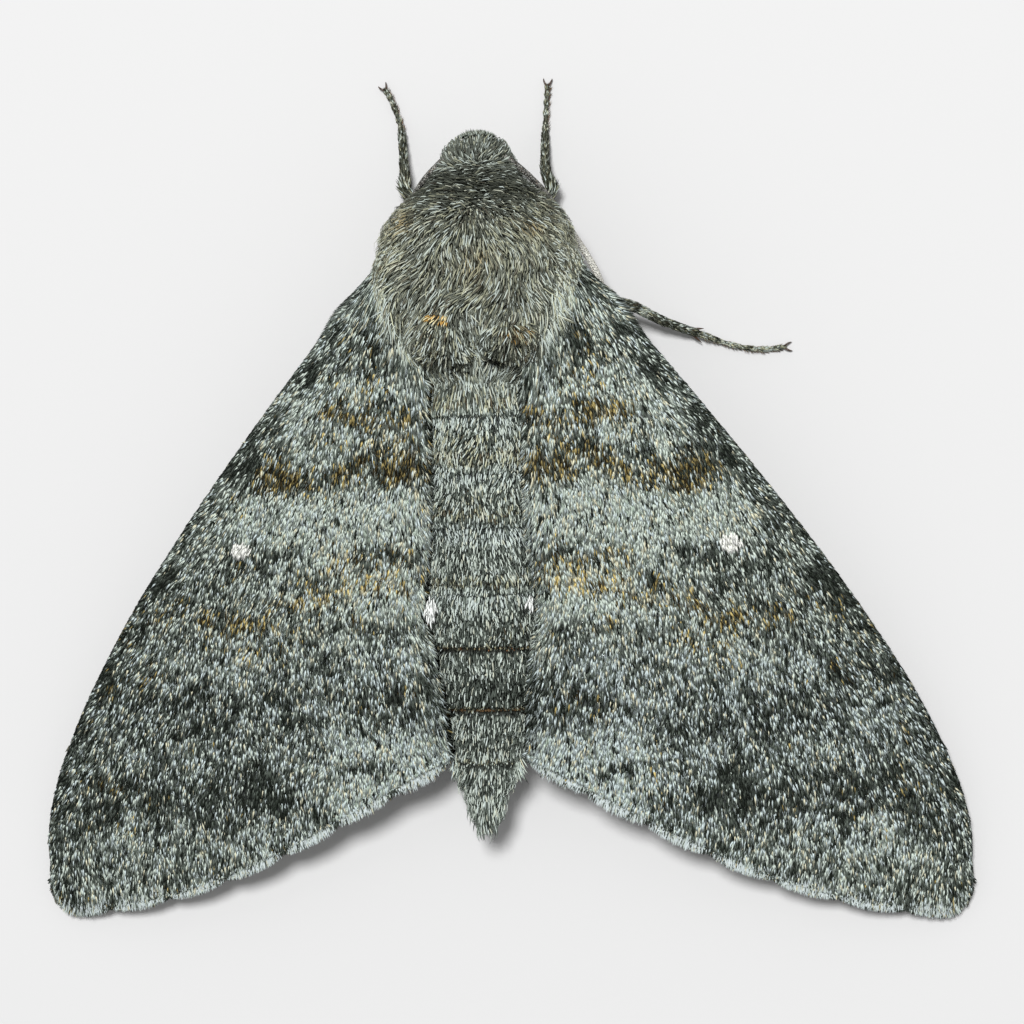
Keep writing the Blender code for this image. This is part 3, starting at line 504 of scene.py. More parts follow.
SUBTERMINAL = (
    (10.7, 14.7, 0.90, 0.55, 0, -1.35, 0.0), (11.6, 13.4, 0.60, 0.75, 20, -1.35, 0.0),
    (12.5, 14.5, 0.60, 0.65, 0, -0.75, 0.0), (14.2, 15.1, 0.75, 0.65, 0, -1.15, 0.0),
    (14.1, 13.7, 0.36, 0.50, 0, -0.40, 0.0), (16.9, 13.3, 0.45, 0.50, 0, -0.55, 0.0),
    (17.1, 14.9, 0.55, 0.80, 0, -0.85, 0.05), (9.1, 13.3, 0.55, 0.40, 0, 0.40, 0.0), (19.5, 12.7, 0.50, 0.50, 0, -0.40, 0.0), (6.9, 13.2, 0.60, 0.36, 15, -0.60, 0.0), (4.2, 13.0, 0.50, 0.30, 10, -0.35, 0.0), (15.6, 14.2, 0.40, 0.60, 0, -0.20, 0.0),
    (20.0, 13.8, 0.45, 0.60, 0, -0.45, 0.2), (19.8, 15.3, 0.40, 0.60, 0, -0.55, 0.0),
    (21.3, 14.0, 0.45, 0.70, 0, 0.50, 0.1), (20.6, 16.0, 0.60, 0.40, 0, -0.45, 0.1), (6.3, 13.0, 0.60, 0.30, 15, -0.45, 0.0), (9.9, 15.7, 0.60, 0.30, 20, 0.40, 0.0), (7.6, 14.7, 0.50, 0.25, 20, -0.35, 0.0), (18.6, 15.5, 0.28, 0.45, 10, 0.95, 0.1),
    (18.9, 16.5, 0.40, 0.36, 0, 0.85, 0.1), (15.6, 15.9, 0.60, 0.40, 0, 0.30, 0.0),
    (17.0, 16.1, 0.40, 0.60, 0, -0.55, 0.0), (13.9, 15.9, 0.60, 0.36, 0, -0.35, 0.0),
    (21.1, 16.7, 0.60, 0.30, 20, -0.60, 0.0), (20.4, 17.8, 0.90, 0.40, 10, 0.30, 0.0),
    (18.0, 17.2, 0.40, 0.50, 0, 0.20, 0.0), (19.8, 19.1, 0.50, 0.40, 0, -0.35, 0.0),
    (12.7, 17.1, 0.70, 0.40, 0, 0.15, 0.0), (5.3, 13.2, 0.60, 0.32, 20, -0.45, 0.0),
    (8.6, 15.1, 0.50, 0.35, 20, -0.35, 0.0), (16.3, 18.6, 0.50, 0.30, 10, -0.25, 0.0),
    (9.3, 12.4, 0.35, 0.40, 0, -0.30, 0.0), (21.8, 18.3, 0.35, 0.50, 0, -0.20, 0.0),
)
# Small corrections after comparing with the photo
TOUCHES = (
    (4.4, 6.8, 0.60, 0.60, 0, -0.36, 0.0), (13.1, 14.0, 0.60, 0.90, 0, 0.36, 0.0),
    (12.5, 8.9, 0.60, 2.30, 0, 0.28, 0.0), (5.6, -9.7, 0.60, 0.60, 0, -0.30, 0.0),
    (5.2, -6.6, 0.60, 0.60, 0, -0.28, 0.0), (5.9, 13.1, 1.50, 0.60, 0, -0.34, 0.0),
    (20.9, 13.3, 0.60, 0.60, 0, 0.36, 0.0), (7.5, 7.6, 0.90, 0.55, 0, -0.32, 0.0),
    (17.0, 16.1, 0.55, 0.55, 0, -0.34, 0.0), (14.3, 15.9, 0.60, 0.50, 0, -0.28, 0.0),
    (15.6, 7.8, 1.10, 0.60, 0, 0.28, 0.0), (8.1, 2.6, 1.20, 0.55, 0, 0.30, 0.0),
    (3.7, -4.8, 0.55, 0.60, 0, 0.32, 0.0), (18.6, 16.9, 0.60, 0.50, 0, 0.32, 0.0),
    (19.3, 15.3, 0.50, 0.50, 0, -0.26, 0.0), (8.4, -5.9, 0.55, 0.55, 0, -0.30, 0.0),
    (19.3, 8.6, 0.60, 0.60, 0, -0.30, 0.0), (9.1, 10.5, 0.60, 0.60, 0, 0.28, 0.0),
    (10.5, 15.6, 0.55, 0.50, 0, 0.28, 0.0), (3.3, 4.4, 0.55, 0.60, 0, 0.26, 0.0),
    (10.0, 0.4, 0.60, 1.00, 0, -0.30, 0.0), (7.3, 13.5, 0.70, 1.00, 0, -0.28, 0.0),
    (22.0, 16.4, 0.60, 0.80, 0, -0.28, 0.0), (4.5, -5.2, 0.50, 0.50, 0, 0.26, 0.0),
    (12.1, 5.0, 0.60, 0.80, 0, 0.26, 0.0), (8.7, -5.4, 0.50, 0.80, 0, -0.24, 0.0),
    (19.4, 12.5, 0.50, 0.50, 0, -0.26, 0.0), (20.9, 13.2, 0.50, 0.50, 0, 0.22, 0.0),
    (18.8, 9.1, 0.80, 0.50, 0, -0.24, 0.0), (13.5, 15.7, 0.50, 0.50, 0, -0.26, 0.0),
    (4.4, -9.6, 0.60, 0.90, 0, 0.34, 0.0), (17.6, 7.3, 0.50, 0.50, 0, 0.24, 0.0),
    (6.7, 3.1, 0.50, 0.50, 0, 0.22, 0.0), (9.2, 13.2, 0.45, 0.45, 0, 0.24, 0.0),
    (10.9, 12.4, 0.45, 0.45, 0, -0.24, 0.0), (16.4, 10.6, 0.50, 0.50, 0, -0.22, 0.0),
    (3.1, 5.7, 0.45, 0.50, 0, 0.22, 0.0), (15.8, 12.9, 0.45, 0.50, 0, 0.22, 0.0),
)
WING_MARKS = BASAL + COSTAL_BARS + FIRST_BAND + CENTRE + SECOND_BAND + OUTER + SUBTERMINAL + TOUCHES
DISCAL_SPOT = (11.95, 2.30, 0.50, 0.38)
# Single flecks that only one wing has: side, x, y, radius, stops, ochre
FLECKS = (
    (1, 19.3, 14.3, 0.30, -0.2, 1.0), (1, 17.4, 8.9, 0.25, 0.0, 0.7), (-1, 14.8, 5.9, 0.30, 0.1, 0.8),
    (1, 8.6, -4.6, 0.30, 0.3, 0.0), (-1, 3.3, 6.4, 0.30, 0.3, 0.3), (1, 2.75, 5.35, 0.34, 1.3, 0.0),
    (1, 2.75, 5.75, 0.28, 1.2, 0.0), (-1, 2.30, 5.30, 0.22, 1.2, 0.0), (-1, 8.2, 15.0, 0.40, -0.5, 0.0),
    (1, 12.0, 13.9, 0.40, -0.3, 0.0), (-1, 13.0, 14.6, 0.45, -0.3, -0.2), (1, 9.6, -6.9, 0.4, 0.3, 0.0),
)


def marks_at(x, y, marks, wobble):
    """Sum of the soft oval marks; wobble is a pair of small shifts that roughen them."""
    tone, ochre = np.zeros_like(x), np.zeros_like(x)
    for mx, my, a, b, turn, stops, o in marks:
        c, s = math.cos(math.radians(turn)), math.sin(math.radians(turn))
        dx, dy = x + wobble[0] - mx, y + wobble[1] - my
        d = ((c * dx + s * dy) / a) ** 2 + ((c * dy - s * dx) / b) ** 2
        g = np.exp(-d ** 1.15)
        tone += stops * g
        ochre += o * np.exp(-(d / 1.7) ** 1.1)
    return tone, ochre


def wing_zones(x, y):
    """Broad tones of the forewing: pale middle, darker outer bands, pale tornus."""
    basal = 0.26 * smoothstep((-2.6 - y) / 1.5)
    pale = 0.72 * smoothstep((y + 1.2) / 1.2) * smoothstep((3.0 - y) / 1.6) * smoothstep((14.6 - x) / 4.0)
    fore = 0.20 * smoothstep((y + 3.5) / 2.0) * smoothstep((-0.2 - y) / 1.5) * smoothstep((9.5 - x) / 2)
    inner = 0.34 * smoothstep((y - 2.4) / 1.2) * smoothstep((9.4 - y) / 2.5) * smoothstep((13.5 - x) / 5)
    dark = -0.20 * smoothstep((y - 8.6) / 1.2) * smoothstep((12.3 - y) / 1.0)
    below = -0.42 * smoothstep((y - 12.9) / 0.9) * smoothstep((15.9 - y) / 0.9) * smoothstep((x - 8.8) / 1.4)
    rim = 0.10 * smoothstep((y - 16) / 1.0)
    tornus = 0.80 * smoothstep((y - 10.6) / 0.9) * smoothstep((8.9 - x) / 1.6)
    edge = np.interp(y, EDGE_Y, EDGE_X) - x
    strip = -0.30 * smoothstep((2.4 - edge) / 1.6) * smoothstep((y + 3.0) / 4.0)
    shoulder = -0.15 * smoothstep((-5.5 - y) / 2.0) * smoothstep((2.2 - edge) / 1.0)
    return basal + pale + fore + inner + dark + below + rim + tornus + strip + shoulder


def wing_pigment(p):
    """Tone in stops, ochre, blue and the white spot for points of either forewing."""
    x, y = np.abs(p[..., 0]), p[..., 1]
    wob = (0.20 * noise(p, 0.70, 3) + 0.12 * noise(p, 0.35, 4),
           0.22 * noise(p, 0.75, 5) + 0.10 * noise(p, 0.35, 6))
    tone, ochre = marks_at(x, y, WING_MARKS, wob)
    for side, fx, fy, r, stops, o in FLECKS:
        g = np.exp(-(((x + 0.4 * wob[0] - fx) / r) ** 2 + ((y + 0.4 * wob[1] - fy) / r) ** 2) ** 1.3)
        g = g * (np.sign(p[..., 0]) == side)
        tone, ochre = tone + stops * g, ochre + o * g
    tone = tone + wing_zones(x + wob[0], y + wob[1])
    tone = 1.16 * tone + 0.02 + 0.10 * noise(p, 1.4, 7) + 0.14 * noise(p, 0.6, 8)
    ochre = ochre + 0.16 * np.maximum(noise(p, 1.0, 9) - 0.35, 0)
    sx, sy, ra, rb = DISCAL_SPOT
    spot = (((x + 0.3 * wob[0] - sx) / ra) ** 2 + ((y + 0.3 * wob[1] - sy) / rb) ** 2) < 1.0
    blue = np.clip(-ochre, 0, 1) + (0.40 + 0.25 * (p[..., 0] < 0)) * smoothstep((y - 6.0) / 3) * smoothstep((19 - y) / 4)
    rust, base = np.clip(ochre, 0, 1), smoothstep((0.5 - y) / 1.5)    # the bands near the base are the darkest
    return tone - 0.36 * base * rust, np.minimum((1 + 0.28 * base) * rust, 1), np.clip(blue, 0, 1), spot


# Marks of the trunk as seen from above: x, y, half lengths, stops, ochre
BODY_MARKS = (
    (0.6, -17.1, 0.40, 0.25, -0.3, 0.0), (-0.1, -16.6, 0.40, 0.40, -0.50, 0.0),
    (1.2, -16.2, 0.50, 0.35, 0.20, 0.1), (-0.7, -16.3, 0.40, 0.40, 0.15, 0.1),
    (0.0, -15.2, 1.10, 0.50, -0.45, 0.0), (2.4, -14.9, 0.80, 0.45, -0.35, 0.0),
    (-2.1, -14.6, 0.90, 0.50, -0.75, 0.0), (1.0, -14.2, 0.50, 0.35, -0.45, 0.0),
    (-1.9, -13.8, 0.50, 0.30, -0.45, 0.0), (3.2, -13.3, 0.60, 0.60, -0.25, 0.45),
    (-2.7, -12.8, 0.55, 0.40, -0.85, 0.70), (4.2, -14.0, 0.50, 0.35, 0.05, 0.20),
    (3.9, -11.2, 0.60, 2.30, 0.38, 0.10), (-0.8, -11.4, 0.70, 0.45, -0.15, 0.60),
    (-0.3, -10.4, 0.60, 0.50, -0.10, 0.45), (1.3, -11.0, 0.30, 0.45, -0.40, 0.45),
    (0.3, -11.2, 0.50, 0.40, -0.30, 0.30), (-0.95, -9.3, 0.30, 0.50, -0.75, 0.15),
    (-2.35, -10.4, 0.28, 0.90, -0.55, 0.10), (1.65, -8.62, 0.40, 0.15, 0.30, 0.8),
    (0.9, -8.55, 0.25, 0.18, -0.70, 0.4), (2.25, -8.25, 0.40, 0.14, -0.90, 0.2),
    (4.4, -9.5, 0.50, 0.80, 0.60, 0.0), (-4.5, -9.6, 0.45, 0.80, 0.60, 0.0),
    (-3.5, -8.4, 0.28, 1.10, 0.45, 0.0), (3.3, -7.2, 0.50, 0.50, 0.40, 0.0),
    # the dark marks at (-1.1, -6.6), (-3.1, -6.7) and (0.7, -6.3) are painted shade in the hollows behind the rear
    # tufts of the thorax
    (-2.3, -7.55, 0.50, 0.46, -0.95, 0.85), (-1.1, -6.60, 0.50, 0.26, -2.20, 0.2),
    (-3.1, -6.7, 0.32, 0.30, -1.70, 0.0), (-2.2, -5.9, 0.30, 0.60, -1.20, 0.0),
    (0.70, -6.3, 0.45, 0.26, -1.30, 0.1), (0.9, -6.6, 0.40, 0.30, -0.45, 0.3),
    (2.2, -7.2, 0.60, 0.40, -0.15, 0.45), (5.0, -8.2, 0.50, 0.70, -0.80, 0.0),
    (-4.8, -7.8, 0.40, 0.90, -0.95, 0.0), (0.0, -5.9, 0.50, 0.60, 0.35, 0.0),
    (-1.9, -4.2, 0.30, 0.45, -0.75, 0.0), (-2.3, -3.6, 0.30, 0.40, -0.70, 0.2),
    (0.1, 0.15, 0.60, 0.30, -0.45, 0.15), (-0.2, -2.3, 0.50, 0.30, -0.35, 0.1),
    (0.2, 1.7, 1.20, 0.50, 0.10, -0.6), (1.2, 3.0, 0.35, 0.60, -0.45, 0.0),
    (-2.2, 3.1, 0.35, 0.50, -0.70, 0.0), (-0.2, 3.7, 0.90, 0.50, -0.25, 0.0),
    (0.5, 5.3, 0.50, 0.40, 0.45, 0.0), (-0.35, 5.2, 0.40, 0.50, 0.30, 0.0),
    (-1.2, 6.5, 0.70, 0.35, -0.40, 0.2), (0.0, 8.2, 1.00, 0.40, 0.25, 0.0),
    (1.3, 9.2, 0.50, 0.40, -0.40, 0.0), (-1.3, 9.4, 0.60, 0.50, -0.55, 0.0),
    (0.4, 11.2, 0.60, 0.32, 0.45, 0.0), (-0.35, 11.2, 0.30, 0.32, 0.35, 0.0),
    (0.0, 12.1, 0.80, 0.30, -0.25, 0.1), (0.55, 15.8, 0.28, 0.70, 0.65, 0.0),
    (-0.12, 15.7, 0.26, 0.70, 0.50, 0.0),
)
# Thin brown rings across the abdomen: y, half width, strength
BODY_RINGS = ((7.17, 0.11, 1.0), (10.16, 0.13, 0.9),
              (12.72, 0.09, 0.5))


def body_pigment(p):
    x, y, z = p[..., 0], p[..., 1], p[..., 2]
    wob = (0.12 * noise(p, 0.6, 13), 0.12 * noise(p, 0.6, 14))
    tone, ochre = marks_at(x, y, [(a, b, c, d, 0, e, f) for a, b, c, d, e, f in BODY_MARKS], wob)
    top = smoothstep((z - 3.2) / 1.6)
    tone, ochre = tone * top, ochre * top
    zones = (-0.05 * smoothstep((-15.6 - y) / 0.4)
             - 0.95 * smoothstep((y + 16.1) / 0.5) * smoothstep((-14.0 - y) / 1.0) * smoothstep((4.1 - np.abs(x)) / 1.4)
             + 0.12 * smoothstep((y + 13.2) / 1.0) * smoothstep((-8.5 - y) / 1.5)
             + 0.32 * smoothstep((y + 9.2) / 1.5) * smoothstep((6.2 - y) / 1.5)
             - 0.10 * smoothstep((y - 6.2) / 1.0))
    zones = zones - 0.55 * smoothstep((y - 8.6) / 0.5) * smoothstep((10.3 - y) / 0.3)
    zones = zones + 0.20 * smoothstep((y - 10.5) / 0.3) * smoothstep((11.8 - y) / 0.4)
    under = smoothstep((2.9 - z) / 1.2)
    tone = tone + zones * (1 - under) + 0.35 * under
    ochre = ochre + 0.30 * smoothstep((np.abs(x) - 2.6) / 1.0) * smoothstep((-9.5 - y) / 2.0) \
        + 0.30 * smoothstep((y + 15) / 2) * smoothstep((-7 - y) / 2) + 0.18 * smoothstep((1 - y) / 2) + 0.35 * under
    for ry in (-4.2, -1.5, 1.15, 4.4):
        q = y + 0.20 * noise(p, 0.9, 18) - ry
        before, after = np.exp(-((q + 0.38) / 0.30) ** 2), np.exp(-((q - 0.45) / 0.40) ** 2)
        tone = tone + (-0.05 * before + 0.42 * after * (0.7 + 0.7 * noise(p, 0.7, 19))) * (1 - under)
        ochre = ochre + (0.70 * before - 0.90 * after) * (1 - under)
    tone = tone + 0.35 * smoothstep((y - 11.0) / 2.0)
    for ry, half, k in BODY_RINGS:
        g = np.exp(-(np.abs(y + 0.05 * noise(p, 0.5, 15) - ry) / half) ** 2) * smoothstep((z - 2.6) / 0.8)
        tone, ochre = tone - 1.1 * k * g, ochre + 1.1 * k * g
    tone = tone + 0.16 * noise(p, 1.3, 16) + 0.20 * noise(p, 0.5, 17)
    blue = np.clip(-ochre, 0, 1)
    return tone, np.clip(ochre, 0, 1.4), blue


# ------------------------------------------------------------------ coat
MIDDLE = 0.19            # luminance where the tone is 0
BRIGHT, PALE = 1.80, 0.71


def hue(ochre, blue):
    """Colour over luminance for the mean of a place."""
    plain, warm, cool = np.array((0.91, 1.035, 0.93)), np.array((1.14, 1.00, 0.55)), np.array((0.88, 1.02, 1.09))
    o, b = np.clip(ochre, 0, 1)[..., None] * 0.62, np.clip(blue, 0, 1)[..., None] * 0.8
    return plain * (1 - o - b * (1 - o)) + warm * o + cool * b * (1 - o)


def place_colour(tone, ochre, blue, gain=1.0):
    return np.clip(gain * MIDDLE * 2.0 ** tone, 0.006, 0.75)[..., None] * hue(ochre, blue)


def scale_colours(p, tone, ochre, blue, rng, clump=0.30, mix=0.40, spot=None, olive=False):
    """One colour for each scale: pale, dark or between, with the right mean."""
    n = len(tone)
    light = np.clip(BRIGHT * MIDDLE * 2.0 ** tone, 0.025, 0.66)
    pale = np.clip((light - 0.05) / 0.72, 0.03, 0.9)
    dark = np.clip(0.60 - 1.20 * light, 0.12, 0.85)
    fit = np.minimum(1.0, 0.92 / (pale + dark))
    pale, dark = pale * fit, dark * fit
    mid_light = np.clip((light - PALE * pale - 0.02 * dark) / (1 - pale - dark), 0.05, 0.50)
    r = (1 - mix) * rng.random(n) + mix * (0.5 + 0.5 * noise(p, clump, 31))
    r = np.argsort(np.argsort(r)) / n
    wave = rng.random((n, 1))
    shade = 0.75 + 0.5 * rng.random((n, 1))
    out = mid_light[:, None] * np.array((0.875, 1.05, 0.88)) * shade
    tint = rng.random(n)[:, None]
    white = np.where(tint < (0.24 + 0.50 * blue[:, None]), np.array((0.635, 0.735, 0.735)),
                     np.where(tint > 0.88 - 0.4 * ochre[:, None], np.array((0.74, 0.72, 0.53)),
                              np.array((0.650, 0.735, 0.655))))
    out = np.where((r > 1 - pale)[:, None], white * (0.84 + 0.30 * wave), out)
    out = np.where((r < dark)[:, None], np.array((0.0165, 0.0215, 0.0160)) * (0.5 + 1.3 * wave), out)
    if olive:
        w = smoothstep((-4.6 - p[:, 1]) / 1.2)[:, None]
        out = np.where((r < dark)[:, None], out * (1 + w * np.array((0.20, 0.02, -0.22))), out * (1 + w * np.array((0.09, -0.01, -0.12))))
        out = np.where((r > 1 - pale)[:, None], (0.5 * white + 0.5 * np.array((0.610, 0.675, 0.600))) * (0.80 + 0.34 * wave), out)
        warm = rng.random(n) < 0.50 * np.clip(ochre, 0, 1.0)
        gold = np.clip(ochre - 0.9, 0, 1)[:, None]
        rust = (np.array((0.435, 0.44, 0.300)) * (1 - gold) + np.array((0.92, 0.50, 0.07)) * gold)
        rust = np.where(rng.random((n, 1)) < 0.75 + 0.2 * gold, rust, np.array((0.075, 0.055, 0.028)))
    else:
        warm = rng.random(n) < 0.50 * np.clip(ochre, 0, 1.6)
        rust = np.where(rng.random((n, 1)) < 0.60, np.array((0.47, 0.375, 0.145)), np.array((0.046, 0.034, 0.012)))
    rust = rust * (0.6 + 0.6 * wave) * np.clip((light / 0.28) ** 0.6, 0.40, 1.7)[:, None]
    out = np.where(warm[:, None], rust, out)
    if spot is not None:
        out = np.where(spot[:, None], np.array((0.95, 0.96, 0.89)) * (0.93 + 0.10 * wave), out)
    return out


def turned(d, n, angle):
    s = np.cross(n, d)
    return d * np.cos(angle)[:, None] + s * np.sin(angle)[:, None]


def along(field, n):
    """A field of directions laid flat on the surface with normals n."""
    return unit(field - (field * n).sum(1, keepdims=True) * n)


KITE = ((0, 2, 1), (2, 3, 1), (0, 1, 3), (0, 3, 2))
BLADE = ((0, 2, 3), (0, 3, 1), (4, 3, 2), (4, 1, 3), (0, 1, 2), (4, 2, 1))
LOCK = ((0, 2, 3), (0, 3, 1), (0, 1, 2), (2, 5, 3), (5, 6, 3), (3, 6, 1), (6, 4, 1), (1, 4, 2), (4, 5, 2),
        (7, 6, 5), (7, 4, 6), (7, 5, 4))
ALL_COATS = []


class Coat:
    """One joined mesh of many small closed tufts."""

    def __init__(self):
        self.v, self.f, self.c, self.uv, self.count = [], [], [], [], 0

    def add(self, verts, faces, colours, cells, patch=0.0015):
        n, k = verts.shape[:2]
        faces = np.array(faces)
        m = len(faces)
        self.v.append(verts.reshape(-1, 3))
        self.f.append((faces[None] + (self.count + k * np.arange(n))[:, None, None]).reshape(-1, 3))
        self.c.append(colours.reshape(-1, 3))
        turn = 2 * math.pi * np.arange(m + 1) / m
        rim = patch * np.stack([np.cos(turn), np.sin(turn)], 1)
        fan = np.stack([0 * rim[:-1], rim[:-1], rim[1:]], 1).reshape(-1, 2)
        self.uv.append((cells[:, None, :] + fan[None]).reshape(-1, 2))
        self.count += n * k

    def kites(self, p, d, n, length, width, lift, colour, cells, sink=0.03, belly=0.35, mid_lift=None, ends=(0.78, 1.12)):
        s = np.cross(n, d)
        length, width, lift = (np.broadcast_to(np.asarray(a, float), len(p))[:, None] for a in (length, width, lift))
        rise = 0.5 * lift + 0.004 if mid_lift is None else mid_lift
        root = p - sink * n
        middle = p + belly * length * d + rise * n
        tip = p + length * d + lift * n
        v = np.stack([root, middle + 0.5 * width * s, middle - 0.5 * width * s, tip], 1)
        c = np.stack([colour * ends[0], colour, colour, colour * ends[1]], 1)
        self.add(v, KITE, c, cells)

    def blades(self, p, d, n, length, width, height, colour, cells, sink=0.05, bend=0.45, droop=0.75, sweep=None,
               ends=(0.62, 1.15)):
        """Hairs and hair-scales: up to their height at the bend, then lying back."""
        s = np.cross(n, d)
        length, width, height = (np.broadcast_to(np.asarray(a, float), len(p))[:, None] for a in (length, width, height))
        root = p - sink * n
        middle = p + bend * length * d + height * n
        tip = p + length * d + droop * height * n
        if sweep is not None:
            tip = tip + sweep[:, None] * length * s
        v = np.stack([root, middle + 0.5 * width * s, middle - 0.5 * width * s, middle + 0.28 * width * n, tip], 1)
        c = np.stack([colour * ends[0], colour, colour, colour * 1.04, colour * ends[1]], 1)
        self.add(v, BLADE, c, cells)

    def locks(self, p, d, n, length, width, height, colour, cells, sink=0.05, first=0.33, second=0.70,
              rise=0.8, droop=0.6, sweep=0.0, ends=(0.6, 1.18)):
        """Longer hairs with two bends."""
        s = np.cross(n, d)
        length, width, height, sweep = (np.broadcast_to(np.asarray(a, float), len(p))[:, None]
                                        for a in (length, width, height, sweep))
        root = p - sink * n
        one = p + first * length * d + rise * height * n + 0.25 * sweep * length * s
        two = p + second * length * d + height * n + 0.6 * sweep * length * s
        tip = p + length * d + droop * height * n + sweep * length * s
        w = 0.5 * width
        v = np.stack([root, one + w * s, one - w * s, one + 0.5 * w * n,
                      two + 0.8 * w * s, two - 0.8 * w * s, two + 0.4 * w * n, tip], 1)
        c = np.stack([colour * ends[0]] + [colour] * 3 + [colour * 1.06] * 3 + [colour * ends[1]], 1)
        self.add(v, LOCK, c, cells)

    def build(self, name, material, mirror=False):
        v = np.concatenate(self.v)
        f = np.concatenate(self.f)
        c, uv = np.concatenate(self.c), np.concatenate(self.uv)
        obj = make_mesh(name, v, f, material, c, uv)
        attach(obj, "root")
        ALL_COATS.append((name, len(f)))
        return obj


def make_mesh(name, v, f, material=None, colours=None, uv=None, smooth=False, corner_colours=None):
    """A mesh of triangles or quads, with a colour for each point."""
    v, f = np.asarray(v, np.float32) * MM, np.asarray(f, np.int32)
    mesh = bpy.data.meshes.new(name)
    k = f.shape[1]
    mesh.vertices.add(len(v))
    mesh.vertices.foreach_set("co", v.ravel())
    mesh.loops.add(f.size)
    mesh.loops.foreach_set("vertex_index", f.ravel())
    mesh.polygons.add(len(f))
    mesh.polygons.foreach_set("loop_start", np.arange(0, f.size, k, dtype=np.int32))
    mesh.polygons.foreach_set("loop_total", np.full(len(f), k, np.int32))
    if smooth:
        mesh.polygons.foreach_set("use_smooth", np.ones(len(f), bool))
    mesh.update(calc_edges=True)
    if colours is not None:
        a = mesh.color_attributes.new("tint", "FLOAT_COLOR", "POINT")
        rgba = np.ones((len(v), 4), np.float32)
        rgba[:, :3] = np.clip(colours, 0, 1)
        a.data.foreach_set("color", rgba.ravel())
    if uv is not None:
        layer = mesh.uv_layers.new(name="OFBake")
        layer.data.foreach_set("uv", np.asarray(uv, np.float32).ravel())
    obj = bpy.data.objects.new(name, mesh)
    bpy.context.collection.objects.link(obj)
    if material is not None:
        mesh.materials.append(material)
    return obj


# ------------------------------------------------------------------ materials
def node_material(name, roughness, specular=0.5, sheen=0.0, coat=0.0, attribute=True, colour=(0.2, 0.2, 0.2),
                  speckle=0.0, speckle_scale=900.0, bump=0.0, bump_scale=2500.0):
    m = bpy.data.materials.new(name)
    m.use_nodes = True
    tree = m.node_tree
    shader = tree.nodes["Principled BSDF"]
    shader.inputs["Roughness"].default_value = roughness
    shader.inputs["Specular IOR Level"].default_value = specular
    shader.inputs["Sheen Weight"].default_value = sheen
    shader.inputs["Sheen Roughness"].default_value = 0.4
    shader.inputs["Coat Weight"].default_value = coat
    shader.inputs["Coat Roughness"].default_value = 0.08
    shader.inputs["Base Color"].default_value = (*colour, 1)
    place = None
    if speckle or bump:
        place = tree.nodes.new("ShaderNodeTexCoord")
    if attribute:
        tint = tree.nodes.new("ShaderNodeVertexColor")
        tint.layer_name = "tint"
        source = tint.outputs["Color"]
        if speckle:
            grain = tree.nodes.new("ShaderNodeTexNoise")
            grain.inputs["Scale"].default_value = speckle_scale
            grain.inputs["Detail"].default_value = 3.0
            tree.links.new(place.outputs["Object"], grain.inputs["Vector"])
            span = tree.nodes.new("ShaderNodeMapRange")
            span.inputs["From Min"].default_value, span.inputs["From Max"].default_value = 0.3, 0.7
            span.inputs["To Min"].default_value, span.inputs["To Max"].default_value = 1 - speckle, 1 + speckle
            tree.links.new(grain.outputs["Fac"], span.inputs["Value"])
            mix = tree.nodes.new("ShaderNodeVectorMath")
            mix.operation = "SCALE"
            tree.links.new(source, mix.inputs[0])
            tree.links.new(span.outputs["Result"], mix.inputs["Scale"])
            source = mix.outputs["Vector"]
        tree.links.new(source, shader.inputs["Base Color"])
    if bump:
        grain = tree.nodes.new("ShaderNodeTexNoise")
        grain.inputs["Scale"].default_value = bump_scale
        grain.inputs["Detail"].default_value = 2.0
        tree.links.new(place.outputs["Object"], grain.inputs["Vector"])
        node = tree.nodes.new("ShaderNodeBump")
        node.inputs["Strength"].default_value = bump
        node.inputs["Distance"].default_value = 0.00006
        tree.links.new(grain.outputs["Fac"], node.inputs["Height"])
        tree.links.new(node.outputs["Normal"], shader.inputs["Normal"])
    return m


SKIN_MAT = node_material("skin", 0.70, 0.12, 0.0, speckle=0.30, speckle_scale=2600, bump=0.6)
SCALE_MAT = node_material("scales", 0.60, 0.12, 0.0)
HAIR_MAT = node_material("hair", 0.60, 0.14, 0.0)
HORN_MAT = node_material("horn", 0.35, 0.5, speckle=0.15, speckle_scale=1500)
EYE_MAT = node_material("eye", 0.17, 0.32, coat=0.0, bump=0.06, bump_scale=9000)

# ------------------------------------------------------------------ skin
KIND_TRUNK, KIND_FORE, KIND_HIND, KIND_LEG, KIND_PALP = 1, 2, 3, 4, 5


def closed_tube(grid):
    """Points and triangles of a tube (rows along, columns round, no repeated column) with fanned ends."""
    nu, nv = grid.shape[:2]
    ends = np.stack([grid[0].mean(0), grid[-1].mean(0)])
    v = np.vstack([grid.reshape(-1, 3), ends])
    i, j = np.meshgrid(np.arange(nu - 1), np.arange(nv), indexing="ij")
    i, j = i.ravel(), j.ravel()
    k = (j + 1) % nv
    a, b, c, d = i * nv + j, i * nv + k, (i + 1) * nv + k, (i + 1) * nv + j
    tri = [np.stack([a, b, c], 1), np.stack([a, c, d], 1)]
    j = np.arange(nv)
    k = (j + 1) % nv
    tri.append(np.stack([np.full(nv, nu * nv), k, j], 1))
    tri.append(np.stack([np.full(nv, nu * nv + 1), (nu - 1) * nv + j, (nu - 1) * nv + k], 1))
    return v, outward(v, np.vstack(tri))


def outward(v, f):
    """Turns the triangles over if the closed shape is inside out."""
    a, b, c = v[f[:, 0]], v[f[:, 1]], v[f[:, 2]]
    volume = (a * np.cross(b, c)).sum()
    return f if volume > 0 else f[:, ::-1]


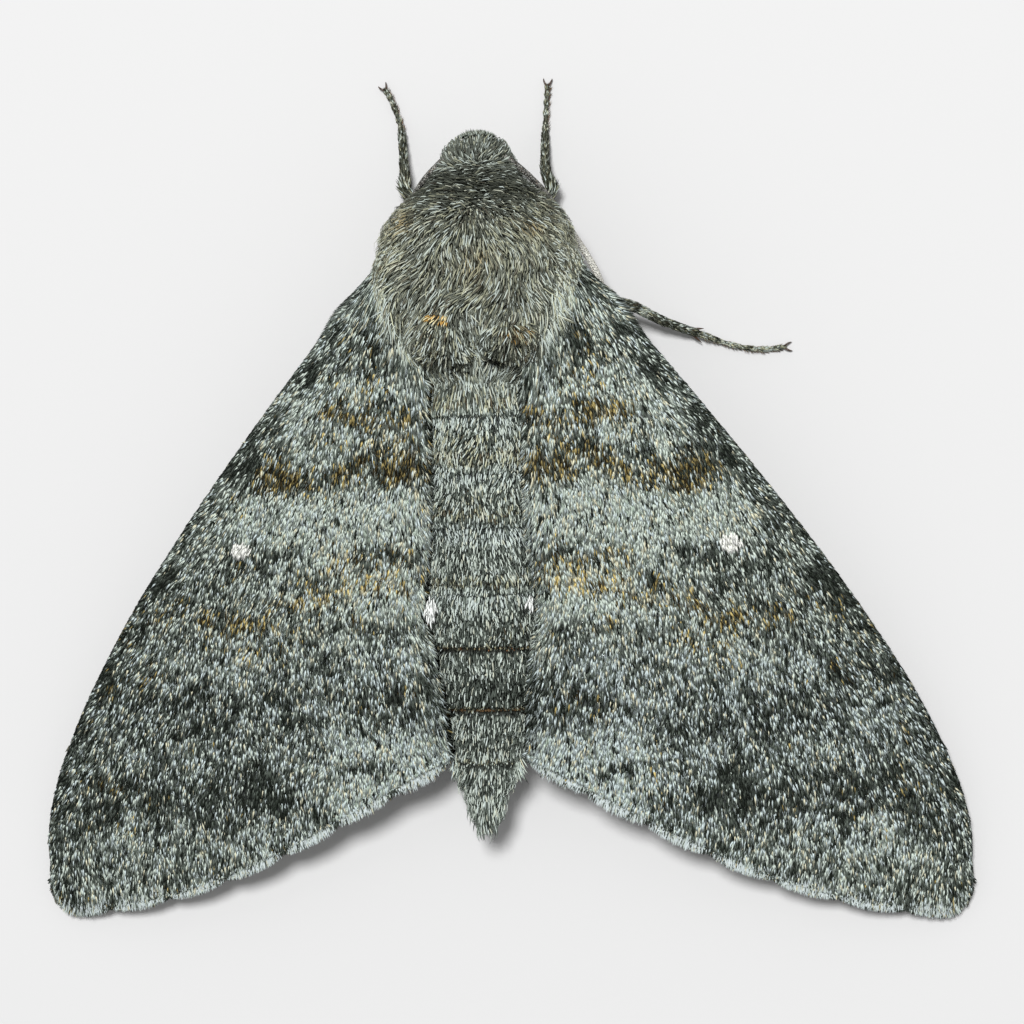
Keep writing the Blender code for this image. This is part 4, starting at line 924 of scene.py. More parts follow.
def closed_sheet(top, under):
    nu, nv = top.shape[:2]
    v = np.vstack([top.reshape(-1, 3), under.reshape(-1, 3)])
    i, j = np.meshgrid(np.arange(nu - 1), np.arange(nv - 1), indexing="ij")
    i, j = i.ravel(), j.ravel()
    a, b, c, d = i * nv + j, i * nv + j + 1, (i + 1) * nv + j + 1, (i + 1) * nv + j
    m = nu * nv
    tri = [np.stack([a, b, c], 1), np.stack([a, c, d], 1),
           np.stack([a + m, c + m, b + m], 1), np.stack([a + m, d + m, c + m], 1)]
    rim = np.concatenate([np.arange(nv), nv * np.arange(1, nu) + nv - 1, (nu - 1) * nv + np.arange(nv - 1)[::-1],
                          nv * np.arange(1, nu - 1)[::-1]])
    nxt = np.roll(rim, -1)
    tri += [np.stack([rim, rim + m, nxt + m], 1), np.stack([rim, nxt + m, nxt], 1)]
    return v, outward(v, np.vstack(tri))


def limb_grid(points, per_leg, n_round, radius_gain=None):
    """Rings round a smooth path whose fourth number is the radius."""
    path = smooth_path(points, per_leg)
    centre, radius = path[:, :3], path[:, 3]
    if radius_gain is not None:
        radius = radius * radius_gain(np.linspace(0, 1, len(path)))
    tangent = unit(np.gradient(centre, axis=0))
    side = unit(np.cross(tangent, np.array((0.0, 0.0, 1.0))))
    lift = np.cross(side, tangent)
    a = np.linspace(0, 2 * math.pi, n_round, endpoint=False)
    return (centre[:, None] + radius[:, None, None] * (np.cos(a)[None, :, None] * side[:, None]
                                                       + np.sin(a)[None, :, None] * lift[:, None]))


def thinned(grid, nu, nv):
    i = np.round(np.linspace(0, grid.shape[0] - 1, nu)).astype(int)
    j = np.round(np.linspace(0, grid.shape[1] - 1, nv)).astype(int)
    return grid[i][:, j]


def leg_profile(t):
    """Part of the leg's full radius that is skin: knees and tarsal joints are slimmer."""
    joints = np.exp(-((t * 8 - 5.0) / 0.10) ** 2) + np.exp(-((t * 8 - 2.0) / 0.12) ** 2)
    tarsus = smoothstep((t * 8 - 5.2) / 0.4)
    beads = 0.14 * tarsus * (0.5 + 0.5 * np.cos(2 * math.pi * (t * 8 - 5.2) / 0.56))
    return 0.58 - 0.10 * joints - beads - 0.10 * tarsus


def wing_solid(wing, nu, nv, reach):
    top, under = thinned(wing.top.g, nu, nv), thinned(wing.under.g, nu, nv)
    top = np.vstack([top[:1] - np.array(reach), top])
    under = np.vstack([under[:1] - np.array(reach), under])
    return closed_sheet(top, under)


def skin_parts():
    grid = SKIN_GRID[:, :-1]
    yield "trunk", KIND_TRUNK, closed_tube(thinned(grid, 230, 90))
    for name, kind, wing, nu, nv, reach in (("forewing", KIND_FORE, forewing, 110, 120, (1.4, -0.2, 0.1)),
                                            ("hindwing", KIND_HIND, hindwing, 56, 50, (1.6, 0.0, 0.2))):
        v, f = wing_solid(wing, nu, nv, reach)
        for side, m in SIDES.items():
            w = v * np.array((m, 1, 1))
            yield name + "_" + side, kind, (w, outward(w, f))
    for name, points in LEGS.items():
        yield name, KIND_LEG, closed_tube(limb_grid(points, 7, 14, leg_profile))
    for side, m in SIDES.items():
        points = [(m * x, y, z, 0.8 * r) for x, y, z, r in PALP]
        yield "palp_" + side, KIND_PALP, closed_tube(limb_grid(points, 6, 14))


def leg_pigment(p):
    tone = 0.10 + 0.25 * noise(p, 0.5, 41)
    return tone, np.full(p.shape[:-1], 0.30), np.zeros(p.shape[:-1])


def under_pigment(p):
    """Undersides of the wings and the upper side of the hindwings: dusky brown grey."""
    x, y = np.abs(p[..., 0]), p[..., 1]
    tone = -0.10 + 0.30 * noise(p, 1.6, 42) + 0.15 * noise(p, 0.5, 43)
    band = np.exp(-((y - 9.0 - 0.15 * (x - 10) + 0.5 * noise(p, 2.0, 44)) / 0.7) ** 2)
    rim = smoothstep((y - 12.5) / 2)
    return tone - 0.45 * band + 0.25 * rim, np.full(p.shape[:-1], 0.45), np.zeros(p.shape[:-1])


def skin_colours(p, kind):
    """Colours of the skin for points of the given kinds of face."""
    out = np.zeros((len(p), 3))
    for k in np.unique(kind):
        at = kind == k
        q = p[at]
        if k == KIND_FORE:
            tone, ochre, blue, spot = wing_pigment(q)
            colour = place_colour(tone, ochre, blue, 0.46)
            colour = np.where(spot[:, None], np.array((0.62, 0.63, 0.57)), colour)
            under = q[:, 2] < wing_height(np.abs(q[:, 0]), q[:, 1])
            colour = np.where(under[:, None], place_colour(*under_pigment(q), 0.8), colour)
        elif k == KIND_HIND:
            colour = place_colour(*under_pigment(q), 0.7)
        elif k in (KIND_LEG, KIND_PALP):
            colour = place_colour(*leg_pigment(q), 0.55)
        else:
            colour = place_colour(*body_pigment(q), 0.38)
        out[at] = colour
    return out


def build_skin():
    made = []
    for name, kind, (v, f) in skin_parts():
        obj = make_mesh("skin_" + name, v, f)
        tag = obj.data.attributes.new("kind", "INT", "FACE")
        tag.data.foreach_set("value", np.full(len(f), kind, np.int32))
        made.append(obj)
    first = made[0]
    for other in made[1:]:
        mod = first.modifiers.new(other.name, "BOOLEAN")
        mod.operation, mod.solver, mod.object = "UNION", "MANIFOLD", other
    graph = bpy.context.evaluated_depsgraph_get()
    mesh = bpy.data.meshes.new_from_object(first.evaluated_get(graph))
    for other in made:
        data = other.data
        bpy.data.objects.remove(other)
        bpy.data.meshes.remove(data)
    mesh.name = "skin"
    skin = bpy.data.objects.new("skin", mesh)
    bpy.context.collection.objects.link(skin)
    mesh.materials.clear()
    mesh.materials.append(SKIN_MAT)
    n = len(mesh.vertices)
    co = np.empty(n * 3, np.float32)
    mesh.vertices.foreach_get("co", co)
    co = co.reshape(-1, 3).astype(float) / MM
    kind = np.empty(len(mesh.polygons), np.int32)
    mesh.attributes["kind"].data.foreach_get("value", kind)
    total = np.empty(len(mesh.polygons), np.int32)
    mesh.polygons.foreach_get("loop_total", total)
    loops = np.empty(len(mesh.loops), np.int32)
    mesh.loops.foreach_get("vertex_index", loops)
    rgba = np.ones((len(loops), 4), np.float32)
    rgba[:, :3] = np.clip(skin_colours(co[loops], np.repeat(kind, total)), 0, 1)
    attribute = mesh.color_attributes.new("tint", "FLOAT_COLOR", "CORNER")
    attribute.data.foreach_set("color", rgba.ravel())
    mesh.attributes.remove(mesh.attributes["kind"])
    mesh.polygons.foreach_set("material_index", np.zeros(len(total), np.int32))
    mesh.polygons.foreach_set("use_smooth", np.ones(len(total), bool))
    mesh.update()
    print("skin:", n, "points,", int((total - 2).sum()), "triangles, kinds", np.unique(kind))
    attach(skin, "root")
    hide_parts("head", "thorax", "abdomen", *("%s_%s" % (a, s) for s in SIDES for a in
                ("forewing", "hindwing", "foreleg", "midleg", "hindleg", "palp")))
    return skin


skin = build_skin()

# ------------------------------------------------------------------ wing scales
def wing_flow(wing_patch, u, v, x, y, rng, spread=9.0, flare=True):
    """Lie of the scales: from the base towards the margin, ruffled a little."""
    d = unit(wing_patch.read(wing_patch.du, u, v))
    n = unit(wing_patch.read(wing_patch.n, u, v))
    back = 0.62 * (1 - np.exp(-(v / 0.16) ** 1.5))[:, None]
    d = unit(d * (1 - back) + back * np.array((0.0, 1.0, 0.0)))
    if flare:
        near = np.exp(-((1 - v) / 0.05) ** 2) * smoothstep((y + 6.5) / 3) * smoothstep((13.5 - y) / 2)
        d = along(d + near[:, None] * np.array((-0.45, 0.0, 0.0)), n)
        edge = np.exp(-(v / 0.02) ** 2)
        d = along(d + edge[:, None] * np.array((0.25, 0.0, 0.0)), n)
    p = np.stack([x, y, 0 * x], 1)
    turn = np.radians(spread) * rng.standard_normal(len(u)) + np.radians(10) * noise(p, 1.2, 51) \
        + np.radians(8) * noise(p, 0.45, 52)
    return turned(along(d, n), n, turn), n


def flipped(a):
    return a * np.array((-1.0, 1.0, 1.0))


def upper_scales(side):
    m = SIDES[side]
    rng = np.random.default_rng(101 if m > 0 else 102)
    coat = Coat()
    patch = forewing.top
    u, v, cells = patch.cells(312, 312, lambda a, b: 114.0, rng)
    p = patch.read(patch.g, u, v)
    d, n = wing_flow(patch, u, v, p[:, 0], p[:, 1], rng)
    size = 1 + 0.25 * rng.standard_normal(len(u)).clip(-1.6, 1.8)
    big = 1.0 + 0.30 * smoothstep((4.5 - p[:, 0]) / 2.0)
    length = (0.47 * size * big).clip(0.24, 0.85)
    width = (0.088 * (1 + 0.25 * rng.standard_normal(len(u)))).clip(0.06, 0.16)
    over = rng.random(len(u)) < 0.50
    lift = np.where(over, 0.095 + 0.055 * rng.random(len(u)), 0.030 + 0.030 * rng.random(len(u)))
    length = length * (1 + 0.9 * smoothstep((0.10 - u) / 0.08)) * np.where(over, 1.08, 0.92)
    near_edge = np.minimum(np.minimum(u * 26, v * 12), (1 - u) * 26)
    length = np.minimum(length, 0.30 + 0.8 * near_edge)
    length = np.minimum(length, 0.08 + 0.85 * (1 - u) * 26)
    if m < 0:
        p, d, n = flipped(p), flipped(d), flipped(n)
    at = p + 0.55 * length[:, None] * d
    tone, ochre, blue, spot = wing_pigment(at)
    lift = lift + 0.08 * spot
    colour = scale_colours(at, tone, ochre, blue, rng, spot=spot)
    coat.kites(p, d, n, length, width, lift, colour, cells)
    return coat.build("forewing_scales_" + side, SCALE_MAT)


def wing_fringe(side):
    """Long scales along the outer margin, out to the scalloped outline."""
    m = SIDES[side]
    rng = np.random.default_rng(111 if m > 0 else 112)
    coat = Coat()
    n_along = 300
    for layer, (u0, gain, shade) in enumerate(((0.972, 1.0, 1.0), (0.984, 1.0, 1.05), (0.992, 1.0, 1.0),
                                               (0.997, 0.98, 0.9), (0.990, 0.55, 0.8), (0.998, 0.72, 1.1))):
        under = layer == 3
        patch = forewing.under if under else forewing.top
        count = n_along * 3
        v = (np.arange(count) + rng.random(count)) / count
        u = np.full(count, u0) + 0.006 * (rng.random(count) - 0.5)
        flat_u = np.full(count, 0.93)    # the skin rounds over at its very edge
        p, n = patch.read(patch.g, u, v), unit(patch.read(patch.n, flat_u, v))
        out = unit(patch.read(patch.du, flat_u, v))
        s = margin_run(v)
        room = (1 - u) * 26.0 + 0.44 + 1.35 * SCALLOP_DEPTH * (np.abs(np.sin(math.pi * SCALLOPS * s)) ** 0.45 - 0.8) \
            * smoothstep(s / 0.08) * smoothstep((1 - s) / 0.08)
        normal = margin_normal(v)
        d = along((0.55 * smoothstep(s / 0.10))[:, None] * out + 0.55 * normal, n)
        length = np.maximum(room * gain * (0.74 + 0.28 * rng.random(count)), 0.16)
        length = length * (0.30 + 0.70 * smoothstep(s / 0.05)) * (0.6 + 0.4 * smoothstep((1 - s) / 0.04))
        width = 0.075 + 0.05 * rng.random(count)
        notch = np.exp(-((s * SCALLOPS - np.round(s * SCALLOPS)) / 0.10) ** 2)
        d = turned(d, n, np.radians(7) * rng.standard_normal(count))
        if m < 0:
            p, d, n = flipped(p), flipped(d), flipped(n)
        tone = 0.25 - 2.2 * notch + 0.35 * noise(p, 0.5, 54)
        colour = scale_colours(p, tone, np.full(count, 0.06), np.full(count, 0.1), rng)
        bright = (rng.random(count) < 0.46 * (1 - notch) * smoothstep(s / 0.10))[:, None]
        colour = shade * np.where(bright, np.array((0.52, 0.58, 0.58)) * (0.70 + 0.30 * rng.random((count, 1))), 0.55 * colour)
        cells = strip_cells(layer, 6, count)
        coat.kites(p, d, n, length, width, 0.03 + 0.05 * rng.random(count), colour, cells, belly=0.6)
    obj = coat.build("forewing_fringe_" + side, SCALE_MAT)
    obj.data.polygons.foreach_set("use_smooth", np.zeros(len(obj.data.polygons), bool))    # flat scales catch the light
    return obj


def strip_cells(layer, layers, count):
    """Places on the map for a row of tufts that runs along an edge: the row's own strip."""
    i = np.arange(count)
    rows = int(math.ceil(count / 300.0))
    return np.stack([(layer * rows + i % rows + 0.5) * 0.0036 + 0.002,
                     0.002 + (i // rows + 0.5) * 0.0033], 1)


def margin_table():
    """Arc position and outward direction along the wing's outer margin."""
    line = margin_line()
    step = np.linalg.norm(np.diff(line, axis=0), axis=1)
    run = np.concatenate(([0.0], np.cumsum(step)))
    t = np.gradient(line, axis=0)
    normal = unit(np.stack([-t[:, 1], t[:, 0], 0 * t[:, 0]], 1))
    centre = np.array((8.0, 8.0, 0.0))
    if (normal[200] * (np.array((*line[200], 0.0)) - centre)).sum() < 0:
        normal = -normal
    return run / run[-1], normal


MARGIN_RUN, MARGIN_NORMAL = margin_table()


def margin_run(v):
    return np.interp(v, np.linspace(0, 1, len(MARGIN_RUN)), MARGIN_RUN)


def margin_normal(v):
    at = np.linspace(0, 1, len(MARGIN_RUN))
    return unit(np.stack([np.interp(v, at, MARGIN_NORMAL[:, k]) for k in range(3)], 1))


def plain_scales(name, patch, side, grid, density, seed, gain=1.0, length=0.5, width=0.16, flare=False):
    """Scales of the wing faces that the camera hardly sees."""
    m = SIDES[side]
    rng = np.random.default_rng(seed + (0 if m > 0 else 1))
    coat = Coat()
    u, v, cells = patch.cells(grid, grid, lambda a, b: density, rng)
    p = patch.read(patch.g, u, v)
    d, n = wing_flow(patch, u, v, p[:, 0], p[:, 1], rng, 10, flare)
    size = (1 + 0.2 * rng.standard_normal(len(u))).clip(0.6, 1.5)
    run = np.minimum(length * size, 0.25 + 20 * (1 - u))
    if m < 0:
        p, d, n = flipped(p), flipped(d), flipped(n)
    tone, ochre, blue = under_pigment(p)
    colour = gain * scale_colours(p, tone, ochre, blue, rng, mix=0.25) * 0.5 + 0.5 * gain * place_colour(tone, ochre, blue)
    coat.kites(p, d, n, run, width * size, 0.06 + 0.03 * rng.random(len(u)), colour, cells)
    return coat.build(name + "_" + side, SCALE_MAT)


def edge_hairs(side):
    """Hair fringe along the inner margin of the forewing, on its upper and lower faces."""
    m = SIDES[side]
    rng = np.random.default_rng(121 if m > 0 else 122)
    coat = Coat()
    for layer, (v0, gap) in enumerate(((0.985, 0.15), (0.995, 0.1), (1.0, 0.1))):
        patch = forewing.top if layer < 2 else forewing.under
        count = 900
        u = 0.03 + 0.95 * (np.arange(count) + rng.random(count)) / count
        v = np.full(count, v0) - 0.010 * rng.random(count)
        p, n = patch.read(patch.g, u, v), unit(patch.read(patch.n, u, v))
        if layer == 2:
            n = -n
        d = along(unit(patch.read(patch.du, u, v)) + np.array((-0.20 if layer < 2 else -0.60, 0.05, -0.15)), n)
        d = turned(d, n, np.radians(12) * rng.standard_normal(count) + 0.3 * noise(p, 0.8, 55))
        length = 0.42 + 0.26 * rng.random(count)
        length = np.where(p[:, 1] > 12.3, 0.35, length)
        if m < 0:
            p, d, n = flipped(p), flipped(d), flipped(n)
        tone, ochre, blue, _ = wing_pigment(p)
        pale = smoothstep((p[:, 1] + 1.5) / 2.5) * smoothstep((6.4 - p[:, 1]) / 1.0)
        colour = scale_colours(p, tone + 0.20 + 0.5 * pale, 0.5 * ochre, blue + 0.5 * pale, rng)
        coat.kites(p, d, n, length, 0.075 + 0.04 * rng.random(count), 0.02 + 0.10 * rng.random(count), colour,
                   strip_cells(layer, 3, count), belly=0.5)
    return coat.build("forewing_inner_fringe_" + side, SCALE_MAT)


def inner_curtain(side):
    """Soft hair below the forewing's inner margin, down to the flank of the abdomen, kept dark as painted shade of the
    gap between wing and abdomen.
    """
    m = SIDES[side]
    rng = np.random.default_rng(141 if m > 0 else 142)
    coat = Coat()
    patch = forewing.under
    for layer, v0 in enumerate((0.975, 0.987, 0.996)):
        count = 1100
        u = 0.03 + 0.93 * (np.arange(count) + rng.random(count)) / count
        v = np.full(count, v0) - 0.010 * rng.random(count)
        p = patch.read(patch.g, u, v) + np.array((0.0, 0.0, 0.04))
        inward = 0.30 + 0.35 * smoothstep((p[:, 1] - 8.0) / 3.0)
        d = unit(np.stack([-inward, np.full(count, 0.30), np.full(count, -1.0)], 1)
                 + 0.13 * rng.standard_normal((count, 3)))
        n = along(np.tile(np.array((0.95, 0.10, 0.30)), (count, 1)), d)
        length = (1.10 + 0.50 * rng.random(count)) * (1 - 0.45 * smoothstep((p[:, 1] - 12.0) / 1.2))
        if m < 0:
            p, d, n = flipped(p), flipped(d), flipped(n)
        tone, ochre, blue = under_pigment(p)
        # painted shade: the curtain's colour is lowered by 0.15 stops and scaled by 0.75 to match the shadow in the gap
        colour = 0.75 * scale_colours(p, tone - 0.15 + 0.3 * noise(p, 0.4, 56), ochre, blue, rng, mix=0.2)
        coat.kites(p, d, n, length, 0.12 + 0.05 * rng.random(count), 0.03 + 0.10 * rng.random(count), colour,
                   strip_cells(layer, 3, count), belly=0.4)
    return coat.build("forewing_inner_curtain_" + side, SCALE_MAT)


def costa_scales(side):
    """Thick row of narrow scales along the leading edge."""
    m = SIDES[side]
    rng = np.random.default_rng(131 if m > 0 else 132)
    coat = Coat()
    for layer, (v0, patch) in enumerate(((0.004, forewing.top), (0.001, forewing.top), (0.003, forewing.under))):
        count = 1500
        u = 0.02 + 0.975 * (np.arange(count) + rng.random(count)) / count
        v = v0 * (0.4 + 1.2 * rng.random(count))
        p, n = patch.read(patch.g, u, v), unit(patch.read(patch.n, u, v))
        out = -unit(patch.read(patch.dv, u, v))
        base = np.exp(-((u - 0.080) / 0.038) ** 2)
        d = along(unit(patch.read(patch.du, u, v)) + (0.10 + 0.16 * rng.random(count) + 0.65 * base)[:, None] * out, n)
        length = 0.36 + 0.22 * rng.random(count) + 0.42 * base
        if m < 0:
            p, d, n = flipped(p), flipped(d), flipped(n)
        tone, ochre, blue, _ = wing_pigment(p)
        colour = scale_colours(p, tone - 0.1, ochre, blue, rng)
        coat.kites(p, d, n, length, 0.09 + 0.03 * rng.random(count), 0.04 + 0.05 * rng.random(count), colour,
                   strip_cells(layer, 3, count))
    return coat.build("forewing_costal_scales_" + side, SCALE_MAT)


# ------------------------------------------------------------------ body hair
BODY_GAIN = 1.25


def trunk_uv(y0, y1):
    return (y0 - SKIN_Y0) / (SKIN_Y1 - SKIN_Y0), (y1 - SKIN_Y0) / (SKIN_Y1 - SKIN_Y0)


def body_flow(p, n):
    """Lie of the hair over head, thorax and abdomen."""
    x, y, z = p[:, 0], p[:, 1], p[:, 2]
    s = np.tanh(x / 0.9)
    pick = np.where(x + 0.8 * noise(p, 0.5, 66) + 0.55 * (lattice(x * 997, y * 991, z * 983, 7) * 2 - 1) > 0, 1.0, -1.0)
    ax = np.abs(x)
    head = np.stack([x * 0.60 + 0.25 * pick, -1.0 - 0.2 * ax, -0.25 * (6.4 - z)], 1)
    head = unit(head + np.array((0.0, -0.25, 0.0)))
    collar = np.stack([1.0 * pick + 0.10 * x, 0.12 + 0.24 * ax, -0.20 + 0 * x], 1)
    parting = -0.3 - 1.5 * smoothstep((y + 13.2) / 2.2) * smoothstep((-7.6 - y) / 1.2) + 1.3 * noise(p, 1.7, 68)
    across = np.tanh((x - parting) / 1.1)
    outward_turn = (0.60 * smoothstep((-11.2 - y) / 2.5) + 0.40 * smoothstep((-8.4 - y) / 1.2) * (x > parting)
                    - 0.20 * smoothstep((y + 8.6) / 2.0))
    thorax = np.stack([across * (outward_turn + 0.30 * smoothstep((ax - 3.0) / 1.5)),
                       np.ones_like(x), -0.15 * smoothstep((ax - 3) / 1.5)], 1)
    belly = np.stack([0.10 * s * smoothstep((ax - 1.2) / 1.5) - 0.06 * x * smoothstep((y - 6) / 4),
                      np.ones_like(x), 0 * x], 1)
    swirl = 0.9 * np.exp(-((y + 3.0) / 0.7) ** 2 - ((x + 0.2) / 1.3) ** 2)
    belly[:, 0] += swirl * (x + 0.2) * 1.2
    tail = np.stack([(x - TAIL_BEND) * 0.35 + 0.12 * np.sign(x - TAIL_BEND - 0.05), np.ones_like(x), 0.05 * (z - 3.5)], 1)
    a = smoothstep((y + 16.25 + 0.25 * noise(p, 0.8, 64)) / 0.5)[:, None]
    b = smoothstep((y + 14.3) / 0.9)[:, None]
    c = smoothstep((y + 6.4) / 0.8)[:, None]
    t = smoothstep((y - 13.6) / 1.2)[:, None]
    f = unit(head) * (1 - a) + unit(collar) * a * (1 - b) + unit(thorax) * b * (1 - c) + unit(belly) * c * (1 - t) + unit(tail) * t
    return along(f, n)


def clear_of_eyes(p, gap=0.05):
    keep = np.ones(len(p), bool)
    for m in (1, -1):
        e = np.array((m * EYE_AT[0], EYE_AT[1], EYE_AT[2]))
        keep &= np.linalg.norm(p - e, axis=1) > EYE_R + gap
    return keep


# Rear edges of the abdomen's rings, where a row of hair-scales ends over the next ring
ROW_ENDS = (-4.2, -1.5, 1.15, 4.40, 7.08, 10.06, 12.62)


def row_ahead(p):
    """How far each root is from the next row's end, and how far behind the last one's bare line."""
    bow = 0.16 * smoothstep((p[:, 1] - 10.6) / 2.0) * (1 - ((p[:, 0] - 0.2) / 1.6) ** 2).clip(-0.5, 1)
    y = p[:, 1] - bow + 0.12 * noise(p, 0.55, 69) * (1 - 0.6 * smoothstep((p[:, 1] - 5.5) / 1.0))
    ends = np.array(ROW_ENDS + (99.0,))
    k = np.searchsorted(ends, y)
    last = np.concatenate(([-99.0], ends))[k]
    bare = np.array((0.0, -0.1, -0.1, -0.1, -0.1, 0.12, 0.12, 0.05))[k]
    soft = np.array((0.32, 0.32, 0.30, 0.28, 0.05, 0.05, 0.10, 0.1))[k]
    return ends[k] - y + soft, y - last - bare


# Dark hollows behind the two rounded tufts of the thorax: x, y, half width, half length
HOLLOWS = ((0.68, -6.28, 0.52, 0.24), (-1.12, -6.60, 0.54, 0.24), (-3.10, -6.70, 0.28, 0.30))


def short_of_hollows(p, run, rng):
    """Shorten hair so that its tips end in front of the hollows, and thin it inside them."""
    keep = np.ones(len(p), bool)
    for x, y, rx, ry in HOLLOWS:
        a = (p[:, 0] - x) / rx
        front = y - ry * np.sqrt(np.clip(1 - a ** 2, 0, 1))
        near = (np.abs(a) < 1) & (p[:, 1] < front)
        run = np.where(near, np.minimum(run, np.maximum(front - p[:, 1] + 0.06 * rng.random(len(p)), 0.14)), run)
        inside = a ** 2 + ((p[:, 1] - y) / ry) ** 2 < 1
        keep &= ~inside | (rng.random(len(p)) < 0.12)
    return run, keep


def trunk_hair(name, y0, y1, grid, density, seed, length, width, spread=10.0, ruffle=22.0,
               height=0.9, blend=0.35, share=0.27, over_tone=-0.12, under_tone=-0.24, window=None, ends=(0.30, 1.25), rows=False):
    """Hair of one stretch of the trunk; density is a function of y and of the sine of the ring angle."""
    rng = np.random.default_rng(seed)
    u0, u1 = trunk_uv(y0, y1)
    v0, v1 = window or (0.0, 1.0)

    def thick(u, v):
        y = SKIN_Y0 + (SKIN_Y1 - SKIN_Y0) * u
        return density(y, np.sin(-0.5 * math.pi + 2 * math.pi * v))

    u, v, cells = trunk_patch.cells(grid, grid, thick, rng, (u0, u1, v0, v1))
    p = trunk_patch.read(trunk_patch.g, u, v)
    keep = clear_of_eyes(p)
    u, v, cells, p = u[keep], v[keep], cells[keep], p[keep]
    n = unit(trunk_patch.read(trunk_patch.n, u, v))
    y = p[:, 1]
    s = np.sin(-0.5 * math.pi + 2 * math.pi * v)
    count = len(u)
    d = body_flow(p, n)
    turn = (np.radians(spread) * rng.standard_normal(count) + np.radians(ruffle) * noise(p, 1.1, 61)
            + np.radians(0.75 * ruffle) * noise(p, 0.5, 62))
    d = turned(d, n, turn)
    size = (1 + 0.22 * rng.standard_normal(count)).clip(0.5, 1.6)
    run = length(y) * size if callable(length) else length * size
    over = rng.random(count) < share * smoothstep((s + 0.5) / 0.6)
    run = run * np.where(over, 1.0, 0.8)
    if rows:
        away, gap = row_ahead(p)
        run = np.minimum(run, np.maximum(away - 0.10 * rng.random(count), 0.12))
        keep = (gap > 0) | (rng.random(count) < 0.08)
    else:
        run, keep = short_of_hollows(p, run, rng)
    u, v, cells, p, n, y, s, d, run, over = (a[keep] for a in (u, v, cells, p, n, y, s, d, run, over))
    count = len(u)
    run = run * (1 - 0.50 * smoothstep((np.abs(p[:, 0]) - 0.25) / 1.0) * smoothstep((-16.5 - y) / 0.6))
    wide = width * (1 + 0.22 * rng.standard_normal(count)).clip(0.5, 1.6) * np.where(over, 1.0, 1.1)
    depth = coat_depth(y, s)
    rise = depth * height * np.where(over, 0.80 + 0.35 * rng.random(count), 0.30 + 0.25 * rng.random(count))
    rise = rise * (1 + 0.20 * noise(p, 0.5, 63))
    rise = rise * smoothstep((y - SKIN_Y0 + 0.6) / 1.0) * smoothstep((SKIN_Y1 + 0.8 - y) / 1.2)
    at = p + 0.6 * run[:, None] * d + rise[:, None] * n
    tone, ochre, blue = body_pigment(at)
    level = np.where(over, over_tone, under_tone)
    mixed = scale_colours(at, tone + level, ochre, blue, rng, clump=0.22, mix=0.25, olive=True)
    gain = (1.25 + 0.50 * smoothstep((-5.0 - y) / 1.0))[:, None]
    flat = gain * place_colour(tone + level, 0.55 * ochre, blue) * (0.8 + 0.4 * rng.random((count, 1)))
    colour = np.where(over & (y < -5.0), 0.93, 1.0)[:, None] * (blend * mixed + (1 - blend) * flat)
    coat = Coat()
    longer, a = over, ~over
    sweep = 0.10 * rng.standard_normal(count) + 0.16 * noise(p, 0.8, 67)
    coat.blades(p[a], d[a], n[a], run[a], wide[a], rise[a], colour[a], cells[a], sweep=sweep[a], droop=0.7, ends=ends)
    if longer.any():
        coat.locks(p[longer], d[longer], n[longer], run[longer], wide[longer], rise[longer],
                   colour[longer], cells[longer], sweep=sweep[longer], droop=0.55, ends=(0.45, 1.2))
    return coat.build(name, HAIR_MAT)


def cap_hair():
    """Short hair over the front of the head, where the skin's last ring closes."""
    rng = np.random.default_rng(221)
    count = 1100
    a = 2 * math.pi * rng.random(count)
    r = np.sqrt(rng.random(count))
    w, top, low, mid = section(np.full(count, SKIN_Y0))
    x, z = 0.85 * w * r * np.cos(a), mid + 0.85 * r * np.sin(a) * np.where(np.sin(a) > 0, top - mid, mid - low)
    p = np.stack([x, np.full(count, SKIN_Y0), z], 1)
    n = np.tile(np.array((0.0, -1.0, 0.0)), (count, 1))
    d = unit(np.stack([0.9 * x, 0 * x - 0.55, 0.8 * (z - mid) + 0.30], 1) + 0.25 * rng.standard_normal((count, 3)))
    side = unit(np.cross(n, d))
    up = np.cross(d, side)
    tone, ochre, blue = body_pigment(p + 0.3 * d)
    colour = 0.55 * scale_colours(p, tone, ochre, blue, rng, mix=0.25, olive=True) \
        + 0.45 * BODY_GAIN * place_colour(tone, 0.5 * ochre, blue)
    coat = Coat()
    run = (0.22 + 0.22 * rng.random(count)) * (1.15 - 0.75 * (x / (0.85 * w)) ** 2)
    coat.blades(p, d, up, run, 0.060, 0.05, colour, strip_cells(0, 1, count), sink=0.0, droop=0.4)
    return coat.build("face_fur", HAIR_MAT)


def trunk_window(x0, x1, y0, y1):
    """The stretch of the trunk's back that covers a box seen from above."""
    u0, u1 = trunk_uv(y0, y1)
    w = float(section(np.array([0.5 * (y0 + y1)]))[0][0])
    to_v = lambda x: 0.5 - 0.5 * math.asin(max(-0.98, min(0.98, x / w))) / math.pi * 1.0
    v0, v1 = sorted((to_v(x0), to_v(x1)))
    return u0, u1, max(v0 - 0.08, 0.0), min(v1 + 0.08, 1.0)


def oval_roots(at, spread, density, rng, grid=110):
    """Roots inside an oval of the back, with their place on the map."""
    window = trunk_window(at[0] - spread[0], at[0] + spread[0], at[1] - spread[1], at[1] + spread[1])
    u, v, cells = trunk_patch.cells(grid, grid, density, rng, window)
    p = trunk_patch.read(trunk_patch.g, u, v)
    off = np.stack([(p[:, 0] - at[0]) / spread[0], (p[:, 1] - at[1]) / spread[1]], 1)
    keep = (off ** 2).sum(1) < 1.0
    n = unit(trunk_patch.read(trunk_patch.n, u, v))
    return p[keep], n[keep], off[keep], cells[keep]


